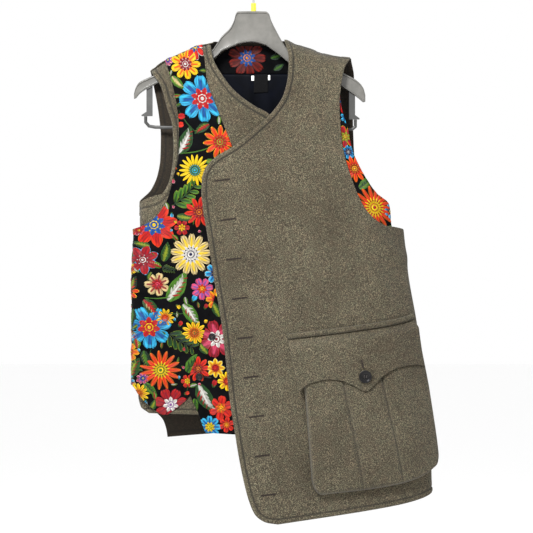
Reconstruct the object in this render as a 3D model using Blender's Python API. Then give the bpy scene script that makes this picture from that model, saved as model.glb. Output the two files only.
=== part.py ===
"""A waistcoat of two interleaved layers, tweed and embroidered velvet, hung on a moulded hanger.

Sizes are in millimetres and become metres where a mesh is made. The origin is where the hook
rests on its rail. X runs to the viewer's right, Y to the back, Z up. Every cloth piece is a thin
wall on one body form: a closed tube whose sections are flattened ovals, drawn in to a rounded
ridge along the shoulders. A place on it is an angle round the tube (0 at the front's middle, a
quarter turn at each side, half a turn at the back's middle) and a height.
"""

import math
from collections import namedtuple

import bmesh
import bpy
from mathutils import Vector

MM = 0.001
QUARTER = math.pi / 2

# Walls and gaps
TWEED = 1.8
VELVET = 1.6
LINING = 1.2
SEAM_GAP = 0.4
LAYER_GAP = 1.4

# The body form: its sides as seen from the front, and how far front and back stand off
Girth = namedtuple("Girth", "height left right front back")
GIRTHS = [
    Girth(-100, -204, 220, 20, 20),
    Girth(-200, -204, 232, 24, 21),
    Girth(-300, -203.5, 250, 31, 25),
    Girth(-400, -203.5, 262, 35, 29),
    Girth(-460, -203.5, 268.5, 37, 31),
    Girth(-550, -206.5, 278, 37, 31),
    Girth(-650, -207, 295, 36, 31),
    Girth(-735, -207, 303, 35, 31),
    Girth(-912, -205, 320, 34, 30),
    Girth(-1010, -204, 321, 34, 30),
]
OVAL_POWER = 2.5
ROLL_HEIGHT = 25

# The top of the form: shoulders on each side, rising to where the neck would be
Ridge = namedtuple("Ridge", "x height")
RIDGES = [
    Ridge(-240, -226),
    Ridge(-184, -186),
    Ridge(-158, -167),
    Ridge(-130, -155),
    Ridge(-98, -141),
    Ridge(-77, -137),
    Ridge(-60, -127),
    Ridge(-10, -106),
    Ridge(30, -118),
    Ridge(54, -130),
    Ridge(97, -146),
    Ridge(138, -159),
    Ridge(176, -164),
    Ridge(240, -176),
]

# How far each layer's inner face stands off the form, at the ridge, on the flat and at the side
Layer = namedtuple("Layer", "ridge middle side thickness")
UNDER_LAYER = Layer(0.0, 0.0, 0.0, TWEED - 0.2)
RIGHT_VELVET_LAYER = Layer(3.0, 2.4, 12.0, VELVET)
LEFT_VELVET_LAYER = Layer(-0.3, 4.4, -6.0, VELVET)
LONG_LAYER = Layer(3.0, 7.8, 0.0, TWEED)
BACK_LAYER = Layer(3.0, 0.0, 0.0, TWEED)
RIDGE_REACH = 60
SIDE_FROM = 0.75
SIDE_TO = 0.99

# Each panel's rows run from its left edge to its right edge, as seen from the front
Row = namedtuple("Row", "left_x left_z right_x right_z sag")

LONG_FRONT = [
    Row(54, -127, 174, -160, 0),
    Row(63, -160, 163, -178, 0),
    Row(62, -189, 157, -209, 0),
    Row(54, -227, 154, -244, 0),
    Row(30, -263, 156, -286, 0),
    Row(1, -290, 159, -317, 0),
    Row(-36, -320, 165, -344, 0),
    Row(-67, -339, 176, -379, 0),
    Row(-84, -356, 188, -410, 0),
    Row(-92, -378, 201, -434, 0),
    Row(-93, -405, 220, -453, 0),
    Row(-91, -425, 247, -466, 0),
    Row(-89, -442, 270, -470, 0),
    Row(-84, -470, 274, -492, 0),
    Row(-70, -560, 280, -545, 0),
    Row(-57, -638, 291, -606, 0),
    Row(-50, -699, 297, -655, 0),
    Row(-43, -771, 304, -718, 0),
    Row(-33, -836, 311, -785, 0),
    Row(-26, -879, 316, -838, 0),
    Row(-16, -928, 320, -886, 0),
    Row(-7, -960, 322, -908, 0),
    Row(4, -983, 322, -923, 1),
    Row(24, -996, 322, -934, 1),
    Row(44, -999, 321, -942, 2),
]

UNDER_FRONT = [
    Row(-184, -184, -77, -138, 0),
    Row(-168, -208, -73, -160, 0),
    Row(-156, -249, -55, -193, 0),
    Row(-146, -285, -31, -222, 0),
    Row(-144, -326, 1, -246, 0),
    Row(-149, -372, 30, -263, 0),
    Row(-160, -399, 45, -290, 0),
    Row(-178, -416, 46, -330, 0),
    Row(-204, -424, 46, -375, 0),
    Row(-204, -450, 46, -430, 0),
    Row(-210, -520, 45, -520, 0),
    Row(-210, -650, 43, -650, 0),
    Row(-208, -760, 40, -770, 0),
    Row(-203, -788, 38, -796, 0),
    Row(-188, -800, 36, -804, 0),
]

RIGHT_VELVET = [
    Row(-158, -162, -92, -136, 0),
    Row(-151, -185, -88, -165, 0),
    Row(-144, -214, -84, -200, 0),
    Row(-138, -245, -70, -240, 0),
    Row(-134, -285, -52, -285, 0),
    Row(-134, -332, -38, -322, 0),
    Row(-144, -376, -28, -362, 0),
    Row(-152, -408, -23, -400, 0),
    Row(-165, -436, -19, -435, 0),
    Row(-182, -455, -16, -460, 0),
    Row(-201, -467, -15, -480, 0),
    Row(-223, -477, -14, -500, 0),
    Row(-222, -510, -15, -532, 0),
    Row(-219, -549, -17, -570, 0),
    Row(-218, -610, -23, -622, 0),
    Row(-219, -665, -34, -672, 0),
    Row(-219, -705, -52, -708, 0),
    Row(-218, -735, -72, -735, 0),
    Row(-206, -750, -92, -753, 0),
    Row(-199, -767, -112, -767, 0),
    Row(-189, -781, -125, -780, 0),
    Row(-178, -792, -140, -792, 0),
    Row(-166, -801, -153, -802, -1),
]

LEFT_VELVET = [
    Row(78, -138, 160, -162, 0),
    Row(84, -165, 157, -185, 0),
    Row(82, -200, 155, -215, 0),
    Row(70, -250, 158, -250, 0),
    Row(50, -300, 169, -288, 0),
    Row(20, -350, 177, -326, 0),
    Row(-8, -395, 188, -352, 0),
    Row(-25, -425, 201, -376, 0),
    Row(-38, -455, 221, -404, 0),
    Row(-46, -480, 245, -424, 0),
    Row(-52, -510, 250, -462, 0),
    Row(-60, -550, 272, -500, 0),
    Row(-71, -596, 280, -560, 0),
    Row(-91, -663, 290, -640, 0),
    Row(-103, -702, 295, -690, 0),
    Row(-114, -735, 298, -730, 0),
    Row(-113, -765, 300, -760, 0),
    Row(-100, -796, 300, -785, 0),
    Row(-93, -816, 298, -800, -6),
    Row(-86, -834, 290, -812, -14),
]

TWEED_BACK = [
    Row(-184, -188, 176, -166, 0),
    Row(-181, -208, 182, -193, 0),
    Row(-176, -234, 182, -225, 0),
    Row(-171, -266, 180, -262, 0),
    Row(-168, -300, 181, -300, 0),
    Row(-169, -340, 183, -338, 0),
    Row(-174, -370, 196, -374, 0),
    Row(-185, -396, 218, -407, 0),
    Row(-206, -422, 243, -428, 0),
    Row(-208, -444, 247, -460, 0),
    Row(-210, -466, 272, -478, 0),
    Row(-211, -560, 282, -560, 0),
    Row(-211, -650, 296, -640, 0),
    Row(-209, -725, 304, -705, 0),
    Row(-203, -765, 308, -735, 0),
    Row(-184, -793, 310, -752, 0),
    Row(-164, -814, 312, -766, -2),
    Row(-158, -832, 313, -778, -4),
    Row(-156, -845, 314, -788, -6),
]

# The back's top edge: shoulder, neck, shoulder
BACK_TOPS = [
    Ridge(-184, -186),
    Ridge(-158, -167),
    Ridge(-130, -155),
    Ridge(-98, -141),
    Ridge(-80, -137),
    Ridge(-60, -134),
    Ridge(-10, -129),
    Ridge(36, -129.5),
    Ridge(56, -131),
    Ridge(97, -146),
    Ridge(138, -159),
    Ridge(176, -164),
]

YOKE_INSIDE = [
    Row(-42, -137, 40, -136, 0),
    Row(-70, -165, 60, -165, 0),
    Row(-68, -186, 66, -186, 0),
]
YOKE_TOP_DROP = 7

BACK_LINING = [
    Row(-70, -186.6, 66, -186.6, 0),
    Row(-62, -240, 68, -240, 0),
    Row(-52, -300, 74, -300, 0),
]

# Mesh rows fall close together over the shoulder's roll and where an edge turns round the side
ROLL_STEPS = [0, 0.7, 2.5, 6, 11, 18]
TOP_REACH = 120
TURN_RADIUS = 150

# The right velvet front wraps round the side and ends on the back
WRAP_TURN = 0.16
WRAP_FROM = 1.47
WRAP_END_STANDOFF = 2.6
UNDERARM_DEPTH = 30

# Soft folds, each a ridge from (x, z) to (end_x, end_z)
Fold = namedtuple("Fold", "x z end_x end_z width height")
LONG_FOLDS = [
    Fold(112, -196, 122, -300, 12, 2.6),
    Fold(205, -470, 262, -520, 14, 4.0),
    Fold(196, -500, 236, -590, 13, 3.0),
    Fold(60, -600, 84, -780, 16, 3.2),
    Fold(40, -810, 92, -930, 18, 3.6),
    Fold(-20, -660, 10, -860, 18, 2.6),
]
BACK_FOLDS = [
    Fold(-110, -260, -150, -420, 14, 3.0),
    Fold(130, -250, 190, -420, 15, 3.4),
    Fold(-60, -330, -80, -700, 20, 3.6),
    Fold(40, -300, 60, -640, 22, 3.0),
    Fold(150, -480, 210, -740, 20, 4.0),
]
RIGHT_VELVET_FOLDS = [
    Fold(-150, -480, -196, -560, 11, 3.2),
    Fold(-168, -640, -150, -740, 12, 2.4),
]

# The pleated patch pocket. Its corners are places on the long front
Corner = namedtuple("Corner", "x z")
BAG_TOP_LEFT = Corner(86, -684)
BAG_BOTTOM_LEFT = Corner(106, -946)
BAG_TOP_RIGHT_HEIGHT = -650
BAG_BOTTOM_RIGHT_HEIGHT = -898
BAG_TOP_TURN = 1.40
BAG_BOTTOM_TURN = 1.51
BAG_CORNER_FROM = 0.88
BAG_CORNER_CUT = 17
BAG_CORNER_TURN = 0.18
BAG_CORNER_LEFT = 0.2
BAG_CORNER_RIGHT = 0.4
BAG_BOTTOM_SAG = -6
BAG_CLEAR = 1.0
BAG_MOUTH_PROUD = 9
BAG_PROUD = 18
BAG_FILL_OVER = 0.45
BAG_WALL_RUN = 5
BAG_WIDTH = 200
BAG_FOOT_SHARE = 0.03
BAG_ROWS = [0.0, 0.08, 0.16, 0.26, 0.36, 0.48, 0.60, 0.72, 0.82, 0.89, 0.94, 0.975, 0.99, 1.0]
Pleat = namedtuple("Pleat", "top bottom")
PLEATS = [Pleat(0.21, 0.285), Pleat(0.465, 0.555)]
PLEAT_SHARE = 0.28
PLEAT_HALF_WIDTH = 0.03

FLAP_LEFT = Corner(62, -668)
FLAP_LEFT_FOOT = Corner(81, -759)
FLAP_RIGHT = Corner(293, -632)
FLAP_RIGHT_FOOT = Corner(303, -715)
FlapEdge = namedtuple("FlapEdge", "along rise")
FLAP_EDGES = [
    FlapEdge(0.0, 0),
    FlapEdge(0.067, 11),
    FlapEdge(0.153, 14),
    FlapEdge(0.243, 9),
    FlapEdge(0.33, -5),
    FlapEdge(0.41, -18),
    FlapEdge(0.48, -7),
    FlapEdge(0.56, 5),
    FlapEdge(0.68, 12),
    FlapEdge(0.82, 10),
    FlapEdge(1.0, 0),
]
FLAP_CLEAR = 0.9
FLAP_OVER_BAG = 1.3

WELT_LEFT = Corner(60, -656)
WELT_LEFT_FOOT = Corner(61, -666)
WELT_RIGHT = Corner(289, -620)
WELT_RIGHT_FOOT = Corner(290, -630)
WELT_CLEAR = 1.3
STRIP_SIDE_TURN = 1.36
STRIP_ROW_SPREAD = 1.4

# Buttons: places and diameters
POCKET_BUTTON = Corner(198, -733)
POCKET_BUTTON_DROP = 88
POCKET_BUTTON_WIDTH = 22.7
VELVET_BUTTONS = {"floral_button_upper": Corner(-74, -662), "floral_button_lower": Corner(-97, -734)}
VELVET_BUTTON_WIDTH = 13
BUTTON_STANDOFF = 0.4

# The label and the loop behind it lie on the lining's front face
LABEL = [Row(1, -188, 26, -187, 0), Row(0, -221, 26, -220, 0)]
LOOP = [Row(-4, -190, 30, -189, 0), Row(-4, -199, 30, -198, 0)]
TAPE = 0.8

# The hanger's moulded body, in sections from its left end to its right end
Section = namedtuple("Section", "x top bottom half_thick")
HANGER = [
    Section(-216, -223, -233, 4),
    Section(-213, -213, -232, 7),
    Section(-206, -203, -224, 9),
    Section(-190, -195, -213, 9),
    Section(-176, -189, -206, 9),
    Section(-140, -170, -191, 9),
    Section(-100, -154, -176, 9),
    Section(-76, -146, -163, 10),
    Section(-66, -133, -156, 10),
    Section(-57, -120, -147, 10),
    Section(-42, -105, -140, 11),
    Section(-35, -91, -137, 11),
    Section(-32, -80, -136, 11),
    Section(-28, -75.5, -134, 11),
    Section(-4, -75, -130, 11),
    Section(22, -75.5, -136, 11),
    Section(28, -80, -140, 11),
    Section(32, -92, -143, 11),
    Section(42, -112, -150, 10),
    Section(52, -130, -158, 10),
    Section(62, -143, -166, 10),
    Section(100, -154, -177, 9),
    Section(140, -174, -198, 9),
    Section(163, -187, -213, 9),
    Section(182, -197, -226, 9),
    Section(192, -205, -234, 9),
    Section(199, -215, -239, 7),
    Section(202, -226, -238, 4),
]
HANGER_EDGE = 3.5

WIRE_RADIUS = 1.7
HOOK_INNER_RADIUS = 20
HOOK_FOOT = -74.7
HOOK_BEND_START = -50
HOOK_ARC_FROM = -52
HOOK_ARC_TO = 205
HOOK_ARC_STEPS = 16

SLEEVE_RADIUS = 4.5
SLEEVE_BOTTOM = -74.4
SLEEVE_TOP = -60

BRACKET_WIDTH = 11
BRACKET_HALF_THICK = 3
BracketPlace = namedtuple("BracketPlace", "x bottom foot_reach")
BRACKETS = {
    "hanger_bracket_left": BracketPlace(-188, -264, -9),
    "hanger_bracket_right": BracketPlace(178, -270, 8),
}
BRACKET_FOOT = 4
BAR_RADIUS = 3
BAR_PATH = [
    Corner(-195, -264.4),
    Corner(-195, -275),
    Corner(-189, -282),
    Corner(-178, -284),
    Corner(160, -289),
    Corner(178, -288),
    Corner(184, -283),
    Corner(184, -270.4),
]

Paint = namedtuple("Paint", "colour roughness metallic")
PAINTS = {
    "tweed": Paint((0.160, 0.135, 0.100), 0.95, 0.0),
    "velvet": Paint((0.008, 0.008, 0.010), 0.85, 0.0),
    "navy_lining": Paint((0.004, 0.005, 0.010), 0.45, 0.0),
    "black_button": Paint((0.010, 0.010, 0.011), 0.25, 0.0),
    "white_tape": Paint((0.75, 0.75, 0.72), 0.8, 0.0),
    "hanger_plastic": Paint((0.38, 0.37, 0.34), 0.3, 0.0),
    "hook_metal": Paint((0.55, 0.55, 0.55), 0.25, 1.0),
    "dark_plastic": Paint((0.05, 0.05, 0.05), 0.45, 0.0),
    "yellow_plastic": Paint((0.80, 0.55, 0.05), 0.5, 0.0),
}


def ease(value):
    """Goes smoothly from 0 to 1 as the value does."""
    value = min(max(value, 0.0), 1.0)
    return value * value * (3 - 2 * value)


def mixed(first, last, share):
    """A value part of the way from first to last."""
    return first + (last - first) * share


def slopes_through(places, values):
    """Tangents of a curve through the values that never swings past them."""
    steps = [
        (values[i + 1] - values[i]) / (places[i + 1] - places[i]) for i in range(len(places) - 1)
    ]
    tangents = [steps[0]]
    for before, after in zip(steps, steps[1:]):
        tangents.append(2 * before * after / (before + after) if before * after > 0 else 0.0)
    tangents.append(steps[-1])
    return tangents


def curve_at(places, values, tangents, at):
    """The curve's value at one place."""
    at = min(max(at, places[0]), places[-1])
    i = 0
    while i < len(places) - 2 and at > places[i + 1]:
        i += 1
    width = places[i + 1] - places[i]
    t = (at - places[i]) / width
    rise = values[i + 1] - values[i]
    start = tangents[i] * width
    end = tangents[i + 1] * width
    return values[i] + t * (start + t * (3 * rise - 2 * start - end + t * (start + end - 2 * rise)))


def table_curve(table, key, name):
    """A function of the key column that gives the named column."""
    rows = sorted(table, key=lambda row: getattr(row, key))
    places = [getattr(row, key) for row in rows]
    values = [getattr(row, name) for row in rows]
    tangents = slopes_through(places, values)
    return lambda at: curve_at(places, values, tangents, at)


left_side = table_curve(GIRTHS, "height", "left")
right_side = table_curve(GIRTHS, "height", "right")
front_depth = table_curve(GIRTHS, "height", "front")
back_depth = table_curve(GIRTHS, "height", "back")
ridge_height = table_curve(RIDGES, "x", "height")
back_top = table_curve(BACK_TOPS, "x", "height")
flap_rise = table_curve(FLAP_EDGES, "along", "rise")


def body_point(turn, height):
    """A point on the form."""
    middle = (left_side(height) + right_side(height)) / 2
    half = (right_side(height) - left_side(height)) / 2
    x = middle + half * math.sin(turn)
    below = max(ridge_height(x) - height, 0.0)
    roll = math.sqrt(1 - (1 - min(below / ROLL_HEIGHT, 1.0)) ** 2)
    oval = max(1 - abs(math.sin(turn)) ** OVAL_POWER, 0.0) ** (1 / OVAL_POWER)
    if math.cos(turn) >= 0:
        return Vector((x, -front_depth(height) * roll * oval, height))
    return Vector((x, back_depth(height) * roll * oval, height))


def body_normal(turn, height):
    """The direction out of the form, by small steps round and down it."""
    step = 0.01
    drop = 0.5
    top = min(height + drop, ridge_height(body_point(turn, height).x))
    across = body_point(turn + step, height) - body_point(turn - step, height)
    down = body_point(turn, height - drop) - body_point(turn, top)
    return down.cross(across).normalized()


def front_turn(x, height):
    """The angle of a place on the front."""
    middle = (left_side(height) + right_side(height)) / 2
    half = (right_side(height) - left_side(height)) / 2
    return math.asin(min(max((x - middle) / half, -1.0), 1.0))


def back_turn(x, height):
    """The angle of a place on the back, counted on from the left side."""
    return -math.pi - front_turn(x, height)


def layer_standoff(layer, turn, height):
    """How far a layer's inner face is off the form there."""
    to_side = ease((abs(math.sin(turn)) - SIDE_FROM) / (SIDE_TO - SIDE_FROM))
    standoff = layer.middle + (layer.side - layer.middle) * to_side
    below = ridge_height(body_point(turn, height).x) - height
    standoff = layer.ridge + (standoff - layer.ridge) * ease(below / RIDGE_REACH)
    if layer is RIGHT_VELVET_LAYER and turn < -QUARTER:
        wrapped = ease((-QUARTER - turn) / WRAP_TURN)
        standoff += (WRAP_END_STANDOFF - standoff) * wrapped
    return standoff


def fold_rise(folds, x, z):
    """How far the folds lift the cloth at a place."""
    rise = 0.0
    for fold in folds:
        run = Vector((fold.end_x - fold.x, fold.end_z - fold.z))
        reach = Vector((x - fold.x, z - fold.z))
        along = min(max(reach.dot(run) / run.length_squared, 0.0), 1.0)
        away = (reach - run * along).length
        rise += fold.height * math.exp(-((away / fold.width) ** 2))
    return rise


def cloth_point(layer, turn, height, out, folds=()):
    """A point on a layer, out from its inner face."""
    point = body_point(turn, height)
    rise = fold_rise(folds, point.x, point.z)
    return point + body_normal(turn, height) * (layer_standoff(layer, turn, height) + rise + out)


def row_places(rows):
    """Distances down a panel at which its rows stand."""
    places = [0.0]
    for upper, lower in zip(rows, rows[1:]):
        left = math.hypot(lower.left_x - upper.left_x, lower.left_z - upper.left_z)
        right = math.hypot(lower.right_x - upper.right_x, lower.right_z - upper.right_z)
        places.append(places[-1] + (left + right) / 2)
    return places


def mesh_places(rows, places, find_turn, pitch, rolls):
    """Distances down a panel for its mesh rows: closer over the roll and round the side."""
    steps = [0.0]
    for k, (upper, lower) in enumerate(zip(rows, rows[1:])):
        left = find_turn(lower.left_x, lower.left_z) - find_turn(upper.left_x, upper.left_z)
        right = find_turn(lower.right_x, lower.right_z) - find_turn(upper.right_x, upper.right_z)
        gap = places[k + 1] - places[k]
        count = math.ceil(max(gap, TURN_RADIUS * abs(left), TURN_RADIUS * abs(right)) / pitch)
        steps += [places[k] + gap * i / count for i in range(1, count + 1)]
    if rolls:
        steps = ROLL_STEPS + [step for step in steps if step > ROLL_STEPS[-1] + ROLL_STEPS[2]]
    return steps


def keep_off_seam(point, facing):
    """Stops a panel's edge half a seam's gap short of the middle plane."""
    if facing < 0:
        point.y = min(point.y, -SEAM_GAP / 2)
    elif facing > 0:
        point.y = max(point.y, SEAM_GAP / 2)
    return point


def panel(name, rows, layer, across, pitch, paint, facing, top=None, folds=(), inward=None):
    """A wall on the form between two edges. Inward gives the wall's two faces inside a layer."""
    places = row_places(rows)
    columns = {}
    for field in Row._fields:
        values = [getattr(row, field) for row in rows]
        columns[field] = (values, slopes_through(places, values))
    find_turn = front_turn if facing < 0 else back_turn
    wraps = layer is RIGHT_VELVET_LAYER
    outs = inward or (0.0, layer.thickness)
    sheets = ([], [])
    rolls = top is ridge_height or top is back_top
    for place in mesh_places(rows, places, find_turn, pitch, rolls):
        row = Row(*(curve_at(places, *columns[field], place) for field in Row._fields))
        start = find_turn(row.left_x, row.left_z)
        end = find_turn(row.right_x, row.right_z)
        if wraps:
            corner = rows[11].left_z
            at_side = ease((-start - WRAP_FROM) / (QUARTER - WRAP_FROM))
            start -= WRAP_TURN * ease((corner - row.left_z) / UNDERARM_DEPTH) * at_side
        fade = max(0.0, 1 - place / min(TOP_REACH, places[-1])) ** 2
        lines = ([], [])
        for i in range(across + 1):
            s = i / across
            turn = start + (end - start) * s
            height = row.left_z + (row.right_z - row.left_z) * s + 4 * s * (1 - s) * row.sag
            if top:
                first_x = rows[0].left_x + (rows[0].right_x - rows[0].left_x) * s
                chord = rows[0].left_z + (rows[0].right_z - rows[0].left_z) * s
                height += (top(first_x) - chord) * fade
            x = body_point(turn, height).x
            if top is ridge_height and place == 0:
                height = ridge_height(x)
            height = min(height, ridge_height(x))
            for line, out in zip(lines, outs):
                point = cloth_point(layer, turn, height, out, folds)
                if not wraps or turn > -QUARTER / 2:
                    point = keep_off_seam(point, facing)
                line.append(point)
        for sheet, line in zip(sheets, lines):
            sheet.append(line)
    return shell(name, sheets[1], sheets[0], paint)


def shell(name, outer, inner, paint):
    """A closed wall between two grids of points."""
    down = len(outer)
    across = len(outer[0])
    mesh = bmesh.new()
    top = [[mesh.verts.new(point * MM) for point in line] for line in outer]
    under = [[mesh.verts.new(point * MM) for point in line] for line in inner]
    for i in range(down - 1):
        for j in range(across - 1):
            mesh.faces.new((top[i][j], top[i][j + 1], top[i + 1][j + 1], top[i + 1][j]))
            mesh.faces.new((under[i][j], under[i + 1][j], under[i + 1][j + 1], under[i][j + 1]))
    rim = [(0, j) for j in range(across)]
    rim += [(i, across - 1) for i in range(1, down)]
    rim += [(down - 1, j) for j in range(across - 2, -1, -1)]
    rim += [(i, 0) for i in range(down - 2, 0, -1)]
    for (i, j), (k, m) in zip(rim, rim[1:] + rim[:1]):
        mesh.faces.new((top[i][j], under[i][j], under[k][m], top[k][m]))
    return finish(name, mesh, paint)


def finish(name, mesh, paint):
    """Turns the faces out, makes the object and gives it its material."""
    bmesh.ops.recalc_face_normals(mesh, faces=mesh.faces)
    data = bpy.data.meshes.new(name)
    mesh.to_mesh(data)
    mesh.free()
    data.shade_smooth()
    data.set_sharp_from_angle(angle=math.radians(40))
    data.materials.append(material(paint))
    obj = bpy.data.objects.new(name, data)
    bpy.context.scene.collection.objects.link(obj)
    return obj


def material(paint):
    """One material for each paint, made once."""
    found = bpy.data.materials.get(paint)
    if found:
        return found
    made = bpy.data.materials.new(paint)
    made.use_nodes = True
    shader = made.node_tree.nodes["Principled BSDF"]
    look = PAINTS[paint]
    shader.inputs["Base Color"].default_value = (*look.colour, 1)
    shader.inputs["Roughness"].default_value = look.roughness
    shader.inputs["Metallic"].default_value = look.metallic
    return made


def bag_proud(down):
    """How far the pocket stands out, by its depth from the mouth."""
    return BAG_MOUTH_PROUD + (BAG_PROUD - BAG_MOUTH_PROUD) * ease(down / BAG_FILL_OVER)


def bag_columns(down, wall):
    """Shares of the width at one depth, each with the pleat's dip there."""
    sides = (0.0, wall * 0.4, wall)
    first, second = (mixed(pleat.top, pleat.bottom, down) for pleat in PLEATS)
    flats = [mixed(wall, first - PLEAT_HALF_WIDTH, share) for share in (0.3, 0.65)]
    flats += [mixed(first, second, share) for share in (0.33, 0.5, 0.67)]
    flats += [mixed(second + PLEAT_HALF_WIDTH, 1 - wall, share) for share in (0.35, 0.7)]
    pleats = [pleat + step for pleat in (first, second) for step in (-PLEAT_HALF_WIDTH, PLEAT_HALF_WIDTH)]
    columns = [(share, 0.0) for share in (*sides, *flats, *pleats, *(1 - side for side in sides))]
    columns += [(pleat, PLEAT_SHARE * bag_proud(down)) for pleat in (first, second)]
    return sorted(columns)


def bag_sheet(inset, fall):
    """One face of the pocket's wall: up the left side, over the front and down the right side."""
    edge = inset / BAG_WIDTH
    tall = BAG_TOP_LEFT.z - BAG_BOTTOM_LEFT.z
    wall = BAG_WALL_RUN / BAG_WIDTH
    grid = []
    for down in BAG_ROWS:
        foot = down * (1 - inset / tall)
        line = []
        for across, dip in bag_columns(down, wall):
            near_side = min(across, 1 - across) / wall
            near_foot = (1 - down) / BAG_FOOT_SHARE
            swell = math.sqrt(1 - (1 - min(near_side, 1.0)) ** 2)
            swell *= math.sqrt(1 - (1 - min(near_foot, 1.0)) ** 2)
            s = edge + across * (1 - 2 * edge)
            below = max(0.0, min((foot - BAG_CORNER_FROM) / (1 - BAG_CORNER_FROM), 1.0))
            corner = 1 - math.sqrt(1 - below ** 2)
            left_cut = BAG_CORNER_CUT * corner * max(0.0, 1 - s / BAG_CORNER_LEFT) ** 2
            right_cut = BAG_CORNER_TURN * corner * max(0.0, 1 - (1 - s) / BAG_CORNER_RIGHT) ** 2
            left_x = mixed(BAG_TOP_LEFT.x, BAG_BOTTOM_LEFT.x, foot) + left_cut
            left_z = BAG_TOP_LEFT.z + (BAG_BOTTOM_LEFT.z - BAG_TOP_LEFT.z) * foot
            right_z = BAG_TOP_RIGHT_HEIGHT + (BAG_BOTTOM_RIGHT_HEIGHT - BAG_TOP_RIGHT_HEIGHT) * foot
            z = left_z + (right_z - left_z) * s + 4 * s * (1 - s) * BAG_BOTTOM_SAG * foot
            start = front_turn(left_x, left_z)
            end = mixed(BAG_TOP_TURN, BAG_BOTTOM_TURN, foot) - right_cut
            turn = mixed(start, end, s)
            out = BAG_CLEAR + (bag_proud(down) - fall - dip - BAG_CLEAR) * swell
            line.append(cloth_point(LONG_LAYER, turn, z, TWEED + out, LONG_FOLDS))
        grid.append(line)
    return grid


def strip_turn(corner):
    """The angle of a strip's corner, kept short of the side seam."""
    return min(front_turn(corner.x, corner.z), STRIP_SIDE_TURN)


def lofted_strip(name, corners, columns, rows, out, thick, rise=None):
    """A tweed strip on the long front between two upper corners and two lower ones."""
    left, right, left_foot, right_foot = corners
    sheets = []
    for extra in (0.0, thick):
        grid = []
        for i in range(rows + 1):
            v = (i / rows) ** STRIP_ROW_SPREAD
            line = []
            for j in range(columns + 1):
                s = j / columns
                lift = rise(s) if rise else 0.0
                top = mixed(left.z, right.z, s)
                foot = mixed(left_foot.z, right_foot.z, s) + lift
                top_turn = mixed(strip_turn(left), strip_turn(right), s)
                foot_turn = mixed(strip_turn(left_foot), strip_turn(right_foot), s)
                turn = mixed(top_turn, foot_turn, v)
                height = mixed(top, foot, v)
                reach = TWEED + out(top - height) + extra
                line.append(cloth_point(LONG_LAYER, turn, height, reach, LONG_FOLDS))
            grid.append(line)
        sheets.append(grid)
    return shell(name, sheets[1], sheets[0], "tweed")


def flap_out(drop):
    """The flap leaves the front at its seam and lies over the bag, by the drop below its seam."""
    mouth = FLAP_LEFT.z - BAG_TOP_LEFT.z
    depth = (drop - mouth) / (BAG_TOP_LEFT.z - BAG_BOTTOM_LEFT.z)
    return FLAP_CLEAR + (bag_proud(depth) + FLAP_OVER_BAG) * ease(drop / mouth)


def turned(name, centre, axis, profile, sides, paint):
    """A piece turned about an axis: the profile is (radius, along) pairs that start and end on it."""
    side = axis.orthogonal().normalized()
    other = axis.cross(side)
    mesh = bmesh.new()
    rings = []
    for radius, along in profile:
        base = centre + axis * along
        if radius == 0:
            rings.append([mesh.verts.new(base * MM)])
            continue
        ring = []
        for i in range(sides):
            turn = 2 * math.pi * i / sides
            around = side * math.cos(turn) + other * math.sin(turn)
            ring.append(mesh.verts.new((base + around * radius) * MM))
        rings.append(ring)
    for upper, lower in zip(rings, rings[1:]):
        for i in range(sides):
            k = (i + 1) % sides
            if len(upper) == 1:
                mesh.faces.new((upper[0], lower[i], lower[k]))
            elif len(lower) == 1:
                mesh.faces.new((upper[i], lower[0], upper[k]))
            else:
                mesh.faces.new((upper[i], lower[i], lower[k], upper[k]))
    return finish(name, mesh, paint)


def button(name, centre, axis, width, sides):
    """A sewn button: a flat underside, a raised rim and a dished middle."""
    radius = width / 2
    thick = width * 0.17
    profile = [
        (0, 0.0),
        (radius * 0.82, 0.0),
        (radius, thick * 0.45),
        (radius * 0.93, thick * 0.95),
        (radius * 0.78, thick),
        (radius * 0.66, thick * 0.62),
        (0, thick * 0.55),
    ]
    return turned(name, centre, axis, profile, sides, "black_button")


def hanger_body():
    """The moulded body, a loft through rounded sections."""
    mesh = bmesh.new()
    rings = []
    for section in HANGER:
        edge = min(HANGER_EDGE, section.half_thick * 0.6)
        half = section.half_thick
        shape = [
            (-half, section.top - edge),
            (-half + edge, section.top),
            (half - edge, section.top),
            (half, section.top - edge),
            (half, section.bottom + edge),
            (half - edge, section.bottom),
            (-half + edge, section.bottom),
            (-half, section.bottom + edge),
        ]
        rings.append([mesh.verts.new(Vector((section.x, y, z)) * MM) for y, z in shape])
    for left, right in zip(rings, rings[1:]):
        for i in range(len(left)):
            k = (i + 1) % len(left)
            mesh.faces.new((left[i], left[k], right[k], right[i]))
    mesh.faces.new(rings[0])
    mesh.faces.new(rings[-1][::-1])
    return finish("hanger_body", mesh, "hanger_plastic")


def tube(name, points, radius, resolution, paint):
    """A round bar along a path in the hanger's plane."""
    curve = bpy.data.curves.new(name, "CURVE")
    curve.dimensions = "3D"
    curve.bevel_depth = radius * MM
    curve.bevel_resolution = resolution
    curve.use_fill_caps = True
    spline = curve.splines.new("POLY")
    spline.points.add(len(points) - 1)
    for place, point in zip(spline.points, points):
        place.co = (*(Vector((point.x, 0, point.z)) * MM), 1)
    curve.materials.append(material(paint))
    obj = bpy.data.objects.new(name, curve)
    bpy.context.scene.collection.objects.link(obj)
    return obj


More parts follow.
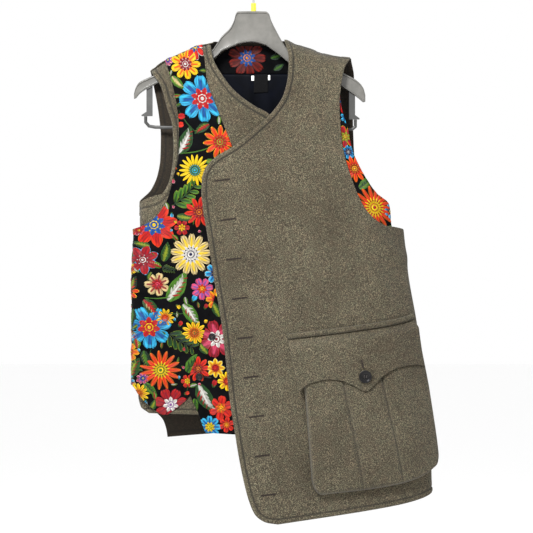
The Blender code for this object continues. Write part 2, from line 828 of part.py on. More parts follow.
def hook_path():
    """Straight up from the body, a bend aside, then round over the rail."""
    radius = HOOK_INNER_RADIUS + WIRE_RADIUS
    points = [Corner(0, HOOK_FOOT), Corner(0, HOOK_BEND_START), Corner(3, HOOK_BEND_START + 5)]
    for i in range(HOOK_ARC_STEPS + 1):
        turn = math.radians(HOOK_ARC_FROM + (HOOK_ARC_TO - HOOK_ARC_FROM) * i / HOOK_ARC_STEPS)
        points.append(Corner(radius * math.cos(turn), -HOOK_INNER_RADIUS + radius * math.sin(turn)))
    return points


def sleeve():
    """A short tube round the hook's foot."""
    bore = WIRE_RADIUS + SEAM_GAP
    mesh = bmesh.new()
    rings = []
    for radius, z in (
        (bore, SLEEVE_BOTTOM),
        (SLEEVE_RADIUS, SLEEVE_BOTTOM),
        (SLEEVE_RADIUS, SLEEVE_TOP),
        (bore, SLEEVE_TOP),
    ):
        ring = []
        for i in range(16):
            turn = 2 * math.pi * i / 16
            place = Vector((radius * math.cos(turn), radius * math.sin(turn), z))
            ring.append(mesh.verts.new(place * MM))
        rings.append(ring)
    for upper, lower in zip(rings, rings[1:] + rings[:1]):
        for i in range(16):
            k = (i + 1) % 16
            mesh.faces.new((upper[i], upper[k], lower[k], lower[i]))
    return finish("hook_sleeve", mesh, "yellow_plastic")


def hanger_underside(x):
    """The height of the body's underside, straight from section to section."""
    for left, right in zip(HANGER, HANGER[1:]):
        if left.x <= x <= right.x:
            return mixed(left.bottom, right.bottom, (x - left.x) / (right.x - left.x))
    return HANGER[-1].bottom


def bracket(name, place):
    """A flat drop below the hanger's arm with a foot that points out."""
    half = BRACKET_WIDTH / 2
    outer = place.x + math.copysign(half, place.foot_reach) + place.foot_reach
    near = place.x - math.copysign(half, place.foot_reach)
    far = place.x + math.copysign(half, place.foot_reach)
    outline = [
        (near, hanger_underside(near) - SEAM_GAP),
        (near, place.bottom),
        (outer, place.bottom),
        (outer, place.bottom + BRACKET_FOOT * 0.5),
        (far, place.bottom + BRACKET_FOOT * 2),
        (far, hanger_underside(far) - SEAM_GAP),
    ]
    mesh = bmesh.new()
    faces = []
    for y in (-BRACKET_HALF_THICK, BRACKET_HALF_THICK):
        faces.append([mesh.verts.new(Vector((x, y, z)) * MM) for x, z in outline])
    mesh.faces.new(faces[0])
    mesh.faces.new(faces[1])
    for i in range(len(outline)):
        k = (i + 1) % len(outline)
        mesh.faces.new((faces[0][i], faces[0][k], faces[1][k], faces[1][i]))
    return finish(name, mesh, "dark_plastic")


def lining_faces(depth, thick):
    """Where a layer inside the back lies, as its two distances from the back's inner face."""
    return (-depth - thick, -depth)


for old in list(bpy.data.objects):
    bpy.data.objects.remove(old, do_unlink=True)

# Fronts, from the inside out
panel("under_front", UNDER_FRONT, UNDER_LAYER, 8, 60, "tweed", -1, ridge_height)
panel(
    "floral_front_right", RIGHT_VELVET, RIGHT_VELVET_LAYER, 12, 42, "velvet", -1, ridge_height,
    RIGHT_VELVET_FOLDS,
)
panel("floral_front_left", LEFT_VELVET, LEFT_VELVET_LAYER, 15, 46, "velvet", -1, ridge_height)
panel("long_front", LONG_FRONT, LONG_LAYER, 18, 34, "tweed", -1, ridge_height, LONG_FOLDS)

# Back, with what lies inside it at the neck
panel("tweed_back", TWEED_BACK, BACK_LAYER, 18, 42, "tweed", 1, back_top, BACK_FOLDS)
lining = lining_faces(LAYER_GAP, LINING)
panel(
    "yoke_inside", YOKE_INSIDE, BACK_LAYER, 8, 16, "velvet", 1,
    lambda x: back_top(x) - YOKE_TOP_DROP, (), lining,
)
panel("back_lining", BACK_LINING, BACK_LAYER, 6, 30, "navy_lining", 1, None, (), lining)
loop = lining_faces(LAYER_GAP + LINING + SEAM_GAP, TAPE)
panel("hang_loop", LOOP, BACK_LAYER, 4, 20, "white_tape", 1, None, (), loop)
label = lining_faces(LAYER_GAP + LINING + SEAM_GAP + TAPE + SEAM_GAP, TAPE)
panel("neck_label", LABEL, BACK_LAYER, 3, 20, "velvet", 1, None, (), label)

# Pocket on the long front
shell("pocket_bag", bag_sheet(0.0, 0.0), bag_sheet(TWEED, TWEED), "tweed")
flap_corners = (FLAP_LEFT, FLAP_RIGHT, FLAP_LEFT_FOOT, FLAP_RIGHT_FOOT)
lofted_strip("pocket_flap", flap_corners, 18, 6, flap_out, TWEED, flap_rise)
welt_corners = (WELT_LEFT, WELT_RIGHT, WELT_LEFT_FOOT, WELT_RIGHT_FOOT)
lofted_strip("pocket_welt", welt_corners, 18, 1, lambda drop: WELT_CLEAR, TWEED)

# Buttons
flap_turn = front_turn(POCKET_BUTTON.x, POCKET_BUTTON.z)
flap_reach = 2 * TWEED + flap_out(POCKET_BUTTON_DROP) + BUTTON_STANDOFF
flap_seat = cloth_point(LONG_LAYER, flap_turn, POCKET_BUTTON.z, flap_reach, LONG_FOLDS)
flap_axis = body_normal(flap_turn, POCKET_BUTTON.z)
button("pocket_button", flap_seat, flap_axis, POCKET_BUTTON_WIDTH, 20)
for name, place in VELVET_BUTTONS.items():
    turn = front_turn(place.x, place.z)
    seat = cloth_point(LEFT_VELVET_LAYER, turn, place.z, VELVET + BUTTON_STANDOFF)
    button(name, seat, body_normal(turn, place.z), VELVET_BUTTON_WIDTH, 14)

# Hanger
hanger_body()
tube("hanger_hook", hook_path(), WIRE_RADIUS, 2, "hook_metal")
sleeve()
for name, place in BRACKETS.items():
    bracket(name, place)
tube("trouser_bar", BAR_PATH, BAR_RADIUS, 2, "dark_plastic")
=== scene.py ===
"""Looks of a waistcoat of two interleaved layers, tweed and embroidered velvet, on a moulded hanger.

Tables are in millimetres, in the frame of the CAD model: the origin is where the hook rests on its
rail, X runs to the viewer's right, Y to the back and Z up. Meshes are made in metres.
"""

import math
import random
from collections import namedtuple

import bpy
import numpy as np
from mathutils import Matrix, Vector
from mathutils.kdtree import KDTree


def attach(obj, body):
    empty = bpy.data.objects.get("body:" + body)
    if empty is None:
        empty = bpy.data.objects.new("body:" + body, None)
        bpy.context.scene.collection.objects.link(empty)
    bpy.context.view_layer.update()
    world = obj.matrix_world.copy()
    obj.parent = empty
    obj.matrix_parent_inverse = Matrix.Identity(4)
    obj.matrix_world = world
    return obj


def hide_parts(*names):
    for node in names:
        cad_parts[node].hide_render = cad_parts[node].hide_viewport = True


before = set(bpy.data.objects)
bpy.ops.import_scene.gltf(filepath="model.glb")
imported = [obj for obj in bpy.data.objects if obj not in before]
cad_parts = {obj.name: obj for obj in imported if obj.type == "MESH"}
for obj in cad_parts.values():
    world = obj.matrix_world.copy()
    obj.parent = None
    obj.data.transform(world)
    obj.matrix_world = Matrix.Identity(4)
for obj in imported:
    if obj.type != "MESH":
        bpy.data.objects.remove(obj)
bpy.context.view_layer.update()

# The view: level with the waist, straight on, with a long lens as in a product picture
IMAGE_WIDTH = 0.9594
IMAGE_MIDDLE_X = 0.0234
IMAGE_MIDDLE_Z = -0.5358
CAMERA_DISTANCE = 6.0
FRONT_PLANE = -0.025
SENSOR = 36


def placed(name, data):
    """A new object in the scene."""
    made = bpy.data.objects.new(name, data)
    bpy.context.scene.collection.objects.link(made)
    return made


camera_data = bpy.data.cameras.new("camera")
camera_data.sensor_width = SENSOR
camera_data.lens = SENSOR * CAMERA_DISTANCE / IMAGE_WIDTH
camera = placed("camera", camera_data)
camera.location = (IMAGE_MIDDLE_X, FRONT_PLANE - CAMERA_DISTANCE, IMAGE_MIDDLE_Z)
camera.rotation_euler = (math.radians(90), 0, 0)
bpy.context.scene.camera = camera

# A plain pale floor below the hem, an even pale sky, a soft light above the front, a little to the
# left, and a weaker one at the right
FLOOR_HEIGHT = -1.3
FLOOR_SIZE = 40
SKY = 1.0
LAMP_AIM = Vector((0.0, 0.0, -0.6))


def plain_material(name, colour, roughness, others=None):
    """A material with its own colour, and its shader for what is joined to it."""
    made = bpy.data.materials.new(name)
    made.use_nodes = True
    shader = made.node_tree.nodes["Principled BSDF"]
    shader.inputs["Base Color"].default_value = colour
    shader.inputs["Roughness"].default_value = roughness
    for key, value in (others or {}).items():
        shader.inputs[key].default_value = value
    return made, shader


bpy.ops.mesh.primitive_plane_add(size=FLOOR_SIZE, location=(0, 0, FLOOR_HEIGHT))
floor = bpy.context.object
floor.name = "floor"
floor_paint, _ = plain_material("pale_floor", (0.97, 0.97, 0.97, 1), 0.9)
floor.data.materials.append(floor_paint)

world = bpy.data.worlds.new("pale_sky")
world.use_nodes = True
world.node_tree.nodes["Background"].inputs["Color"].default_value = (1, 1, 1, 1)
world.node_tree.nodes["Background"].inputs["Strength"].default_value = SKY
bpy.context.scene.world = world
bpy.context.scene.view_settings.view_transform = "Standard"

SoftLight = namedtuple("SoftLight", "place size watts")
for lamp in (
    SoftLight((-0.6, -1.6, 0.8), 0.5, 84),
    SoftLight((1.8, -1.6, 0.3), 1.2, 2),
):
    light_data = bpy.data.lights.new("soft_light", "AREA")
    light_data.size = lamp.size
    light_data.energy = lamp.watts
    light = placed("soft_light", light_data)
    light.location = lamp.place
    light.visible_camera = False
    light.rotation_euler = (LAMP_AIM - Vector(lamp.place)).to_track_quat("-Z", "Y").to_euler()

# Hanger: one moulding of pale warm grey plastic, glossy, with a plated wire hook, a yellow size
# sleeve at the hook's foot, and dark drops that carry a trouser bar
MM = 0.001


def srgb(red, green, blue):
    """A colour read off a screen, in the renderer's linear values."""
    values = np.array([red, green, blue]) / 255
    return (*np.where(values < 0.04045, values / 12.92, ((values + 0.055) / 1.055) ** 2.4), 1.0)


def join(tree, kind, values=None, links=None):
    """Adds a node, sets its values and joins other nodes' sockets to its inputs."""
    node = tree.nodes.new(kind)
    for key, value in (values or {}).items():
        if isinstance(key, int) or key in node.inputs:
            node.inputs[key].default_value = value
        else:
            setattr(node, key, value)
    for key, socket in (links or {}).items():
        tree.links.new(socket, node.inputs[key])
    return node


def noise(tree, scale, detail=2.0, roughness=0.5):
    """Noise fixed to the object, with its scale per metre."""
    place = join(tree, "ShaderNodeTexCoord")
    return join(
        tree, "ShaderNodeTexNoise", {"Scale": scale, "Detail": detail, "Roughness": roughness},
        {"Vector": place.outputs["Object"]},
    ).outputs["Fac"]


def ramp(tree, socket, stops):
    """Colours at places along a value."""
    node = join(tree, "ShaderNodeValToRGB", {}, {"Fac": socket})
    band = node.color_ramp
    band.elements[0].position, band.elements[0].color = stops[0]
    band.elements[1].position, band.elements[1].color = stops[-1]
    for place, colour in stops[1:-1]:
        band.elements.new(place).color = colour
    return node.outputs["Color"]


def bump(tree, shader, socket, distance, strength=1.0, over=None):
    """Joins a height to the shader's normal, over an earlier bump if one is named."""
    links = {"Height": socket}
    if over is not None:
        links["Normal"] = over
    node = join(tree, "ShaderNodeBump", {"Strength": strength, "Distance": distance}, links)
    tree.links.new(node.outputs["Normal"], shader.inputs["Normal"])
    return node.outputs["Normal"]


Mottle = namedtuple("Mottle", "scale detail low high")
Grain = namedtuple("Grain", "scale height strength")


def mottled(name, dark, pale, roughness, mottle, grain, others=None):
    """A material whose colour wanders between two tones, with a fine relief."""
    made, shader = plain_material(name, pale, roughness, others)
    tree = made.node_tree
    cloud = noise(tree, mottle.scale, mottle.detail)
    tone = ramp(tree, cloud, [(mottle.low, dark), (mottle.high, pale)])
    tree.links.new(tone, shader.inputs["Base Color"])
    bump(tree, shader, noise(tree, grain.scale), grain.height, grain.strength)
    return made


def moulded_plastic(name, dark, pale, roughness):
    """Plastic with a faint mottle of handling marks."""
    return mottled(name, dark, pale, roughness, Mottle(60, 4, 0.3, 0.7), Grain(500, 0.00004, 0.4))


hanger_grey = moulded_plastic("hanger_grey", srgb(86, 85, 81), srgb(98, 96, 92), 0.24)
drop_grey = moulded_plastic("drop_grey", srgb(42, 42, 41), srgb(54, 54, 52), 0.5)
sleeve_yellow = moulded_plastic("sleeve_yellow", srgb(212, 196, 36), srgb(226, 210, 48), 0.4)
plated_wire, plated_shader = plain_material("plated_wire", srgb(188, 188, 186), 0.22, {"Metallic": 1.0})
bump(plated_wire.node_tree, plated_shader, noise(plated_wire.node_tree, 900), 0.00003, 0.3)

for node_name, finish in (
    ("hanger_bracket_left", drop_grey),
    ("hanger_bracket_right", drop_grey),
    ("trouser_bar", drop_grey),
    ("hook_sleeve", sleeve_yellow),
):
    node_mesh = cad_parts[node_name].data
    node_mesh.materials.clear()
    node_mesh.materials.append(finish)


def settle(piece, node_name, finish, inside=None):
    """Fixes a finished piece to the object in place of its CAD node. A cloth may take a darker material
    inside, as painted shade.
    """
    if len(piece.data.materials) < 2:
        piece.data.materials.clear()
        piece.data.materials.append(finish)
    else:
        piece.data.materials[0] = finish
        piece.data.materials[1] = inside or finish
    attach(piece, "root")
    if node_name:
        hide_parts(node_name)
    return piece


Section = namedtuple("Section", "x top bottom half_thick")
HANGER = [
    Section(-216, -223, -233, 4),
    Section(-213, -213, -232, 7),
    Section(-206, -203, -224, 9),
    Section(-190, -195, -213, 9),
    Section(-176, -189, -206, 9),
    Section(-140, -170, -191, 9),
    Section(-100, -154, -176, 9),
    Section(-76, -146, -163, 10),
    Section(-66, -133, -156, 10),
    Section(-57, -120, -147, 10),
    Section(-42, -105, -140, 11),
    Section(-35, -91, -137, 11),
    Section(-32, -80, -136, 11),
    Section(-28, -75.5, -134, 11),
    Section(-4, -75, -130, 11),
    Section(22, -75.5, -136, 11),
    Section(28, -80, -140, 11),
    Section(32, -92, -143, 11),
    Section(42, -112, -150, 10),
    Section(52, -130, -158, 10),
    Section(62, -143, -166, 10),
    Section(100, -154, -177, 9),
    Section(140, -174, -198, 9),
    Section(163, -187, -213, 9),
    Section(182, -197, -226, 9),
    Section(192, -205, -234, 9),
    Section(199, -215, -239, 7),
    Section(202, -226, -238, 4),
]
HANGER_RIM = 3.0
HANGER_RECESS = 2.2
HANGER_STEP = 0.8
HANGER_ROUND = 1.5
HANGER_STATIONS = 5


def smooth_curve(places, values):
    """A curve through the values that never swings past them, as a function of the place."""
    places = np.array(places, float)
    values = np.array(values, float)
    steps = np.diff(values) / np.diff(places)
    both = steps[:-1] * steps[1:]
    total = np.where(both > 0, steps[:-1] + steps[1:], 1.0)
    tangents = np.concatenate([steps[:1], np.where(both > 0, 2 * both / total, 0.0), steps[-1:]])

    def at(place):
        place = np.clip(place, places[0], places[-1])
        i = np.clip(np.searchsorted(places, place, side="right") - 1, 0, len(places) - 2)
        width = places[i + 1] - places[i]
        t = (place - places[i]) / width
        rise = values[i + 1] - values[i]
        start = tangents[i] * width
        end = tangents[i + 1] * width
        return values[i] + t * (start + t * (3 * rise - 2 * start - end + t * (start + end - 2 * rise)))

    return at


def table_curve(table, key, name):
    """A function of the key column that gives the named column."""
    rows = sorted(table, key=lambda row: getattr(row, key))
    return smooth_curve([getattr(row, key) for row in rows], [getattr(row, name) for row in rows])


def mesh_piece(name, points, faces):
    """A smooth-shaded mesh object from points in millimetres."""
    data = bpy.data.meshes.new(name)
    data.from_pydata((np.asarray(points) * MM).tolist(), [], faces)
    data.shade_smooth()
    return placed(name, data)


def select_only(piece):
    """Makes one object the selected and active one."""
    bpy.ops.object.select_all(action="DESELECT")
    bpy.context.view_layer.objects.active = piece
    piece.select_set(True)


def face_outward(piece):
    """Turns all the faces of a closed mesh outward."""
    select_only(piece)
    bpy.ops.object.mode_set(mode="EDIT")
    bpy.ops.mesh.select_all(action="SELECT")
    bpy.ops.mesh.normals_make_consistent(inside=False)
    bpy.ops.object.mode_set(mode="OBJECT")
    return piece


def apply_modifier(piece, kind, **settings):
    """Adds one modifier and applies it."""
    modifier = piece.modifiers.new(kind.lower(), kind)
    for key, value in settings.items():
        setattr(modifier, key, value)
    select_only(piece)
    bpy.ops.object.modifier_apply(modifier=modifier.name)


hanger_top = table_curve(HANGER, "x", "top")
hanger_bottom = table_curve(HANGER, "x", "bottom")
hanger_half = table_curve(HANGER, "x", "half_thick")
stations = [HANGER[0].x]
for left, right in zip(HANGER, HANGER[1:]):
    stations += [left.x + (right.x - left.x) * k / HANGER_STATIONS for k in range(1, HANGER_STATIONS + 1)]
hanger_points = []
for x in stations:
    top, bottom, half = (float(curve(x)) for curve in (hanger_top, hanger_bottom, hanger_half))
    rim = min(HANGER_RIM, (top - bottom) / 4)
    recess = min(HANGER_RECESS, half / 4)
    front_side = [
        (-half + HANGER_ROUND, top),
        (-half, top - HANGER_ROUND),
        (-half, top - rim),
        (-half + recess, top - rim - HANGER_STEP),
        (-half + recess, bottom + rim + HANGER_STEP),
        (-half, bottom + rim),
        (-half, bottom + HANGER_ROUND),
        (-half + HANGER_ROUND, bottom),
    ]
    back_side = [(-y, z) for y, z in reversed(front_side)]
    hanger_points += [(x, y, z) for y, z in front_side + back_side]
around = 2 * len(front_side)
hanger_faces = [
    (i * around + k, i * around + (k + 1) % around, (i + 1) * around + (k + 1) % around, (i + 1) * around + k)
    for i in range(len(stations) - 1)
    for k in range(around)
]
hanger_faces += [tuple(range(around)), tuple(len(hanger_points) - 1 - k for k in range(around))]
moulding = face_outward(mesh_piece("hanger_moulding", hanger_points, hanger_faces))
apply_modifier(moulding, "BEVEL", width=0.9 * MM, segments=3, limit_method="ANGLE", angle_limit=0.35)
settle(moulding, "hanger_body", hanger_grey)

WIRE_RADIUS = 1.7
HOOK_RADIUS = 21.7
HOOK_MIDDLE = -20
HOOK_STEM = [(0, -74.7), (0, -62), (0, -52), (1.2, -48), (3, -45)]
HOOK_ARC_FROM = -52
HOOK_ARC_TO = 205
HOOK_ARC_STEPS = 48


def round_bar(name, points, radius):
    """A round bar along a path, as a mesh with closed ends."""
    curve = bpy.data.curves.new(name, "CURVE")
    curve.dimensions = "3D"
    curve.bevel_depth = radius * MM
    curve.bevel_resolution = 5
    curve.use_fill_caps = True
    spline = curve.splines.new("POLY")
    spline.points.add(len(points) - 1)
    for place, point in zip(spline.points, points):
        place.co = (*(Vector(point) * MM), 1)
    select_only(placed(name, curve))
    bpy.ops.object.convert(target="MESH")
    bpy.ops.object.shade_smooth()
    return bpy.context.object


hook_line = [(x, 0, z) for x, z in HOOK_STEM]
for step in range(HOOK_ARC_STEPS + 1):
    hook_turn = math.radians(HOOK_ARC_FROM + (HOOK_ARC_TO - HOOK_ARC_FROM) * step / HOOK_ARC_STEPS)
    hook_z = HOOK_MIDDLE + HOOK_RADIUS * math.sin(hook_turn)
    hook_line.append((HOOK_RADIUS * math.cos(hook_turn), 0, hook_z))
hook = round_bar("wire_hook", hook_line, WIRE_RADIUS)
settle(hook, "hanger_hook", plated_wire)

# Long front: one piece of melange wool tweed cut from the right shoulder across to the left hip and
# down to a slanting hem. Its edges are turned in and topstitched. All cloth lies on one body form,
# a tube of flattened ovals; a place on it is an angle round the tube and a height
QUARTER = math.pi / 2

# The form at heights: how far it goes left and right, and its depth in front and behind
Girth = namedtuple("Girth", "height left right front back")
GIRTHS = [
    Girth(-100, -204, 220, 20, 20),
    Girth(-200, -204, 232, 24, 21),
    Girth(-300, -203.5, 250, 31, 25),
    Girth(-400, -203.5, 262, 35, 29),
    Girth(-460, -203.5, 268.5, 37, 31),
    Girth(-550, -206.5, 278, 37, 31),
    Girth(-650, -207, 295, 36, 31),
    Girth(-735, -207, 303, 35, 31),
    Girth(-912, -205, 320, 34, 30),
    Girth(-1010, -204, 321, 34, 30),
]
OVAL_POWER = 2.5
ROLL_HEIGHT = 25

# The top line of the shoulders, from left to right
Ridge = namedtuple("Ridge", "x height")
SHOULDERS = [
    Ridge(-240, -226),
    Ridge(-184, -186),
    Ridge(-158, -167),
    Ridge(-130, -155),
    Ridge(-98, -141),
    Ridge(-77, -137),
    Ridge(-60, -127),
    Ridge(-10, -106),
    Ridge(30, -118),
    Ridge(54, -130),
    Ridge(97, -146),
    Ridge(138, -159),
    Ridge(176, -164),
    Ridge(240, -176),
]

# A layer of cloth: how far its inner face is off the form at the shoulders, in the middle of a
# panel and at the side, and its thickness
Layer = namedtuple("Layer", "ridge middle side thickness")
LONG_LAYER = Layer(3.0, 7.8, 0.0, 1.8)
RIDGE_REACH = 60
SIDE_FROM = 0.75
SIDE_TO = 0.99
WRAP_TURN = 0.16
WRAP_FROM = 1.47
WRAP_END_STANDOFF = 2.6
UNDERARM_DEPTH = 30
UNDERARM_ROW = 11

# A panel's two edges from its top down. The last number lifts the middle of a row above its ends
Row = namedtuple("Row", "left_x left_z right_x right_z sag", defaults=[0])
LONG_FRONT = [
    Row(54, -127, 174, -160),
    Row(63, -160, 163, -178),
    Row(62, -189, 157, -209),
    Row(54, -227, 154, -244),
    Row(30, -263, 156, -286),
    Row(1, -290, 159, -317),
    Row(-36, -320, 165, -344),
    Row(-67, -339, 176, -379),
    Row(-84, -356, 188, -410),
    Row(-92, -378, 201, -434),
    Row(-93, -405, 220, -453),
    Row(-91, -425, 247, -466),
    Row(-89, -442, 270, -470),
    Row(-84, -470, 274, -492),
    Row(-70, -560, 280, -545),
    Row(-57, -638, 291, -606),
    Row(-50, -699, 297, -655),
    Row(-43, -771, 304, -718),
    Row(-33, -836, 311, -785),
    Row(-26, -879, 316, -838),
    Row(-16, -928, 320, -886),
    Row(-7, -960, 322, -908),
    Row(4, -983, 322, -923, 1),
    Row(24, -996, 322, -934, 1),
    Row(44, -999, 321, -942, 2),
]

# Soft folds, each from one place to another, with its half width and its height, which is
# negative for a hollow
Fold = namedtuple("Fold", "x z end_x end_z width height")
LONG_FOLDS = [
    Fold(112, -196, 122, -300, 12, 2.6),
    Fold(205, -470, 262, -520, 14, 4.0),
    Fold(196, -500, 236, -590, 13, 3.0),
    Fold(60, -600, 84, -780, 16, 3.2),
    Fold(40, -810, 92, -930, 18, 3.6),
    Fold(-20, -660, 10, -860, 18, 2.6),
    Fold(150, -215, 168, -330, 7, 1.6),
    Fold(30, -300, 110, -380, 15, 1.2),
    Fold(-30, -420, 40, -520, 22, 1.0),
    Fold(30, -700, 58, -860, 11, -1.3),
    Fold(170, -470, 205, -560, 10, -1.2),
]
ROLL_STEPS = [0, 0.7, 2.5, 6, 11, 18]
EDGE_STEPS = [0, 0.3, 1.0, 2.6, 4.6, 6.6, 7.8, 8.5, 9.2, 9.9, 10.8, 12.5, 15]
TOP_REACH = 120
TURN_RADIUS = 150
RIM_ROUND = 1.0
BAND_WIDTH = 9.0
BAND_RISE = 1.5
BAND_OVER = 0.6
PUFF_RISE = 0.35
PUFF_WIDTH = 16
PUFF_FADE = 12
STITCH_GROOVE = 1.3
GROOVE_OFF = 0.2
FACING_FRONT = -1
FACING_BACK = 1
LINE_POINTS = 129
FAR = 1000.0
SEAM_GAP = 0.2


def ease(value):
    """Goes smoothly from 0 to 1 as the value does."""
    value = np.clip(value, 0.0, 1.0)
    return value * value * (3 - 2 * value)


left_side = table_curve(GIRTHS, "height", "left")
right_side = table_curve(GIRTHS, "height", "right")
front_depth = table_curve(GIRTHS, "height", "front")
back_depth = table_curve(GIRTHS, "height", "back")
ridge_height = table_curve(SHOULDERS, "x", "height")


def body_point(turn, height):
    """Points on the form."""
    left = left_side(height)
    right = right_side(height)
    x = (left + right) / 2 + (right - left) / 2 * np.sin(turn)
    below = np.maximum(ridge_height(x) - height, 0.0)
    roll = np.sqrt(1 - (1 - np.minimum(below / ROLL_HEIGHT, 1.0)) ** 2)
    oval = np.maximum(1 - np.abs(np.sin(turn)) ** OVAL_POWER, 0.0) ** (1 / OVAL_POWER)
    depth = np.where(np.cos(turn) >= 0, -front_depth(height), back_depth(height))
    return np.stack([x, depth * roll * oval, height + 0 * x], axis=-1)


def body_normal(turn, height):
    """The directions out of the form, by small steps round and down it."""
    step = 0.01
    drop = 0.5
    top = np.minimum(height + drop, ridge_height(body_point(turn, height)[..., 0]))
    across = body_point(turn + step, height) - body_point(turn - step, height)
    down = body_point(turn, height - drop) - body_point(turn, top)
    normal = np.cross(down, across)
    return normal / np.linalg.norm(normal, axis=-1, keepdims=True)


def front_turn(x, height):
    """The angle of a place on the front."""
    middle = (left_side(height) + right_side(height)) / 2
    half = (right_side(height) - left_side(height)) / 2
    return np.arcsin(np.clip((x - middle) / half, -1.0, 1.0))


def back_turn(x, height):
    """The angle of a place on the back, counted on from the left side."""
    return -np.pi - front_turn(x, height)


def goes_round(layer):
    """Whether a layer is wrapped round the side to the back."""
    return layer.side > layer.middle


def layer_standoff(layer, turn, height):
    """How far a layer's inner face is off the form."""
    to_side = ease((np.abs(np.sin(turn)) - SIDE_FROM) / (SIDE_TO - SIDE_FROM))
    standoff = layer.middle + (layer.side - layer.middle) * to_side
    below = ridge_height(body_point(turn, height)[..., 0]) - height
    standoff = layer.ridge + (standoff - layer.ridge) * ease(below / RIDGE_REACH)
    if goes_round(layer):
        wrapped = np.where(turn < -QUARTER, ease((-QUARTER - turn) / WRAP_TURN), 0.0)
        standoff = standoff + (WRAP_END_STANDOFF - standoff) * wrapped
    return standoff


def fold_rise(folds, place):
    """How far the soft folds lift or sink the cloth at places on the form."""
    rise = np.zeros(place.shape[:-1])
    for fold in folds:
        run = np.array([fold.end_x - fold.x, fold.end_z - fold.z], float)
        reach = place[..., [0, 2]] - [fold.x, fold.z]
        along = np.clip(reach @ run / (run @ run), 0.0, 1.0)
        away = np.linalg.norm(reach - run * along[..., None], axis=-1)
        rise += fold.height * np.exp(-((away / fold.width) ** 2))
    return rise


def laid(layer, turn, height, folds):
    """Points on a layer's inner face, and the directions out of it."""
    turn = np.asarray(turn, float)
    height = np.asarray(height, float) + 0 * turn
    place = body_point(turn, height)
    normal = body_normal(turn, height)
    out = layer_standoff(layer, turn, height) + fold_rise(folds, place)
    return place + normal * out[..., None], normal


def row_places(rows):
    """Distances down a panel at which its rows stand."""
    places = [0.0]
    for upper, lower in zip(rows, rows[1:]):
        left = math.hypot(lower.left_x - upper.left_x, lower.left_z - upper.left_z)
        right = math.hypot(lower.right_x - upper.right_x, lower.right_z - upper.right_z)
        places.append(places[-1] + (left + right) / 2)
    return places


def mesh_places(rows, places, find_turn, pitch, rolls):
    """Distances down a panel for its mesh rows, closer over the roll, round the side and at the foot."""
    steps = [0.0]
    for k, (upper, lower) in enumerate(zip(rows, rows[1:])):
        left = abs(find_turn(lower.left_x, lower.left_z) - find_turn(upper.left_x, upper.left_z))
        right = abs(find_turn(lower.right_x, lower.right_z) - find_turn(upper.right_x, upper.right_z))
        gap = places[k + 1] - places[k]
        count = math.ceil(max(gap, TURN_RADIUS * left, TURN_RADIUS * right) / pitch)
        steps += [places[k] + gap * i / count for i in range(1, count + 1)]
    if rolls:
        steps = ROLL_STEPS + [step for step in steps if step > ROLL_STEPS[-1] + ROLL_STEPS[2]]
    foot = [places[-1] - step for step in reversed(EDGE_STEPS)]
    return [step for step in steps if step < foot[0] - 1] + foot


def distances(line):
    """How far along a line each of its points is."""
    return np.concatenate([[0.0], np.cumsum(np.linalg.norm(np.diff(line, axis=0), axis=1))])


def spread_points(turn, height, across):
    """A panel's points moved along their rows, so that each column keeps its distance from the
    row's ends: set ones near the ends, and even ones between."""
    turns = []
    heights = []
    for row_turn, row_height, line in zip(turn, height, body_point(turn, height)):
        run = distances(line)
        edges = np.array(EDGE_STEPS) * min(1.0, run[-1] / (3 * EDGE_STEPS[-1]))
        inside = np.linspace(edges[-1], run[-1] - edges[-1], across)[1:-1]
        wanted = np.concatenate([edges, inside, run[-1] - edges[::-1]])
        turns.append(np.interp(wanted, run, row_turn))
        heights.append(np.interp(wanted, run, row_height))
    return np.array(turns), np.array(heights)


def panel_grid(rows, layer, facing, across, pitch, top):
    """The angles and heights of a panel's mesh points, from its rows, its top line and its ridge."""
    places = row_places(rows)
    find_turn = front_turn if facing == FACING_FRONT else back_turn
    rolls = top is not None
    down = np.array(mesh_places(rows, places, find_turn, pitch, rolls))
    edge = Row(*(smooth_curve(places, [getattr(row, field) for row in rows])(down) for field in Row._fields))
    start = find_turn(edge.left_x, edge.left_z)
    end = find_turn(edge.right_x, edge.right_z)
    if goes_round(layer):
        at_side = ease((-start - WRAP_FROM) / (QUARTER - WRAP_FROM))
        start = start - WRAP_TURN * ease((rows[UNDERARM_ROW].left_z - edge.left_z) / UNDERARM_DEPTH) * at_side
    fade = np.maximum(0.0, 1 - down / min(TOP_REACH, places[-1])) ** 2
    s = np.linspace(0, 1, LINE_POINTS)
    turn = start[:, None] + (end - start)[:, None] * s
    height = edge.left_z[:, None] + (edge.right_z - edge.left_z)[:, None] * s
    height = height + 4 * s * (1 - s) * edge.sag[:, None]
    if top is not None:
        first = rows[0]
        chord = first.left_z + (first.right_z - first.left_z) * s
        lift = top(first.left_x + (first.right_x - first.left_x) * s) - chord
        height = height + lift * fade[:, None]
    # A point's place across changes with its height, so the ridge above it is found twice
    for _ in range(2):
        ridge = ridge_height(body_point(turn, height)[..., 0])
        height = np.minimum(height, ridge)
    if top is ridge_height:
        height[0] = ridge[0]
    return spread_points(turn, height, across)


def close_points(line):
    """A line with a point every millimetre or closer."""
    points = []
    for start, end in zip(line, line[1:]):
        count = max(1, math.ceil(np.linalg.norm(end - start)))
        points += [start + (end - start) * i / count for i in range(count)]
    return np.array(points + [line[-1]])


def point_tree(places):
    """A tree in which the nearest of some places is found."""
    tree = KDTree(len(places))
    for i, place in enumerate(places):
        tree.insert(place, i)
    tree.balance()
    return tree


def nearest(points, line):
    """Each point's distance from a line of close points, and how far along it that is."""
    tree = point_tree(line)
    runs = distances(line)
    found = [tree.find(point)[1:] for point in points.reshape(-1, 3)]
    gap = np.array([distance for _, distance in found]).reshape(points.shape[:-1])
    along = runs[[i for i, _ in found]].reshape(points.shape[:-1])
    return gap, along


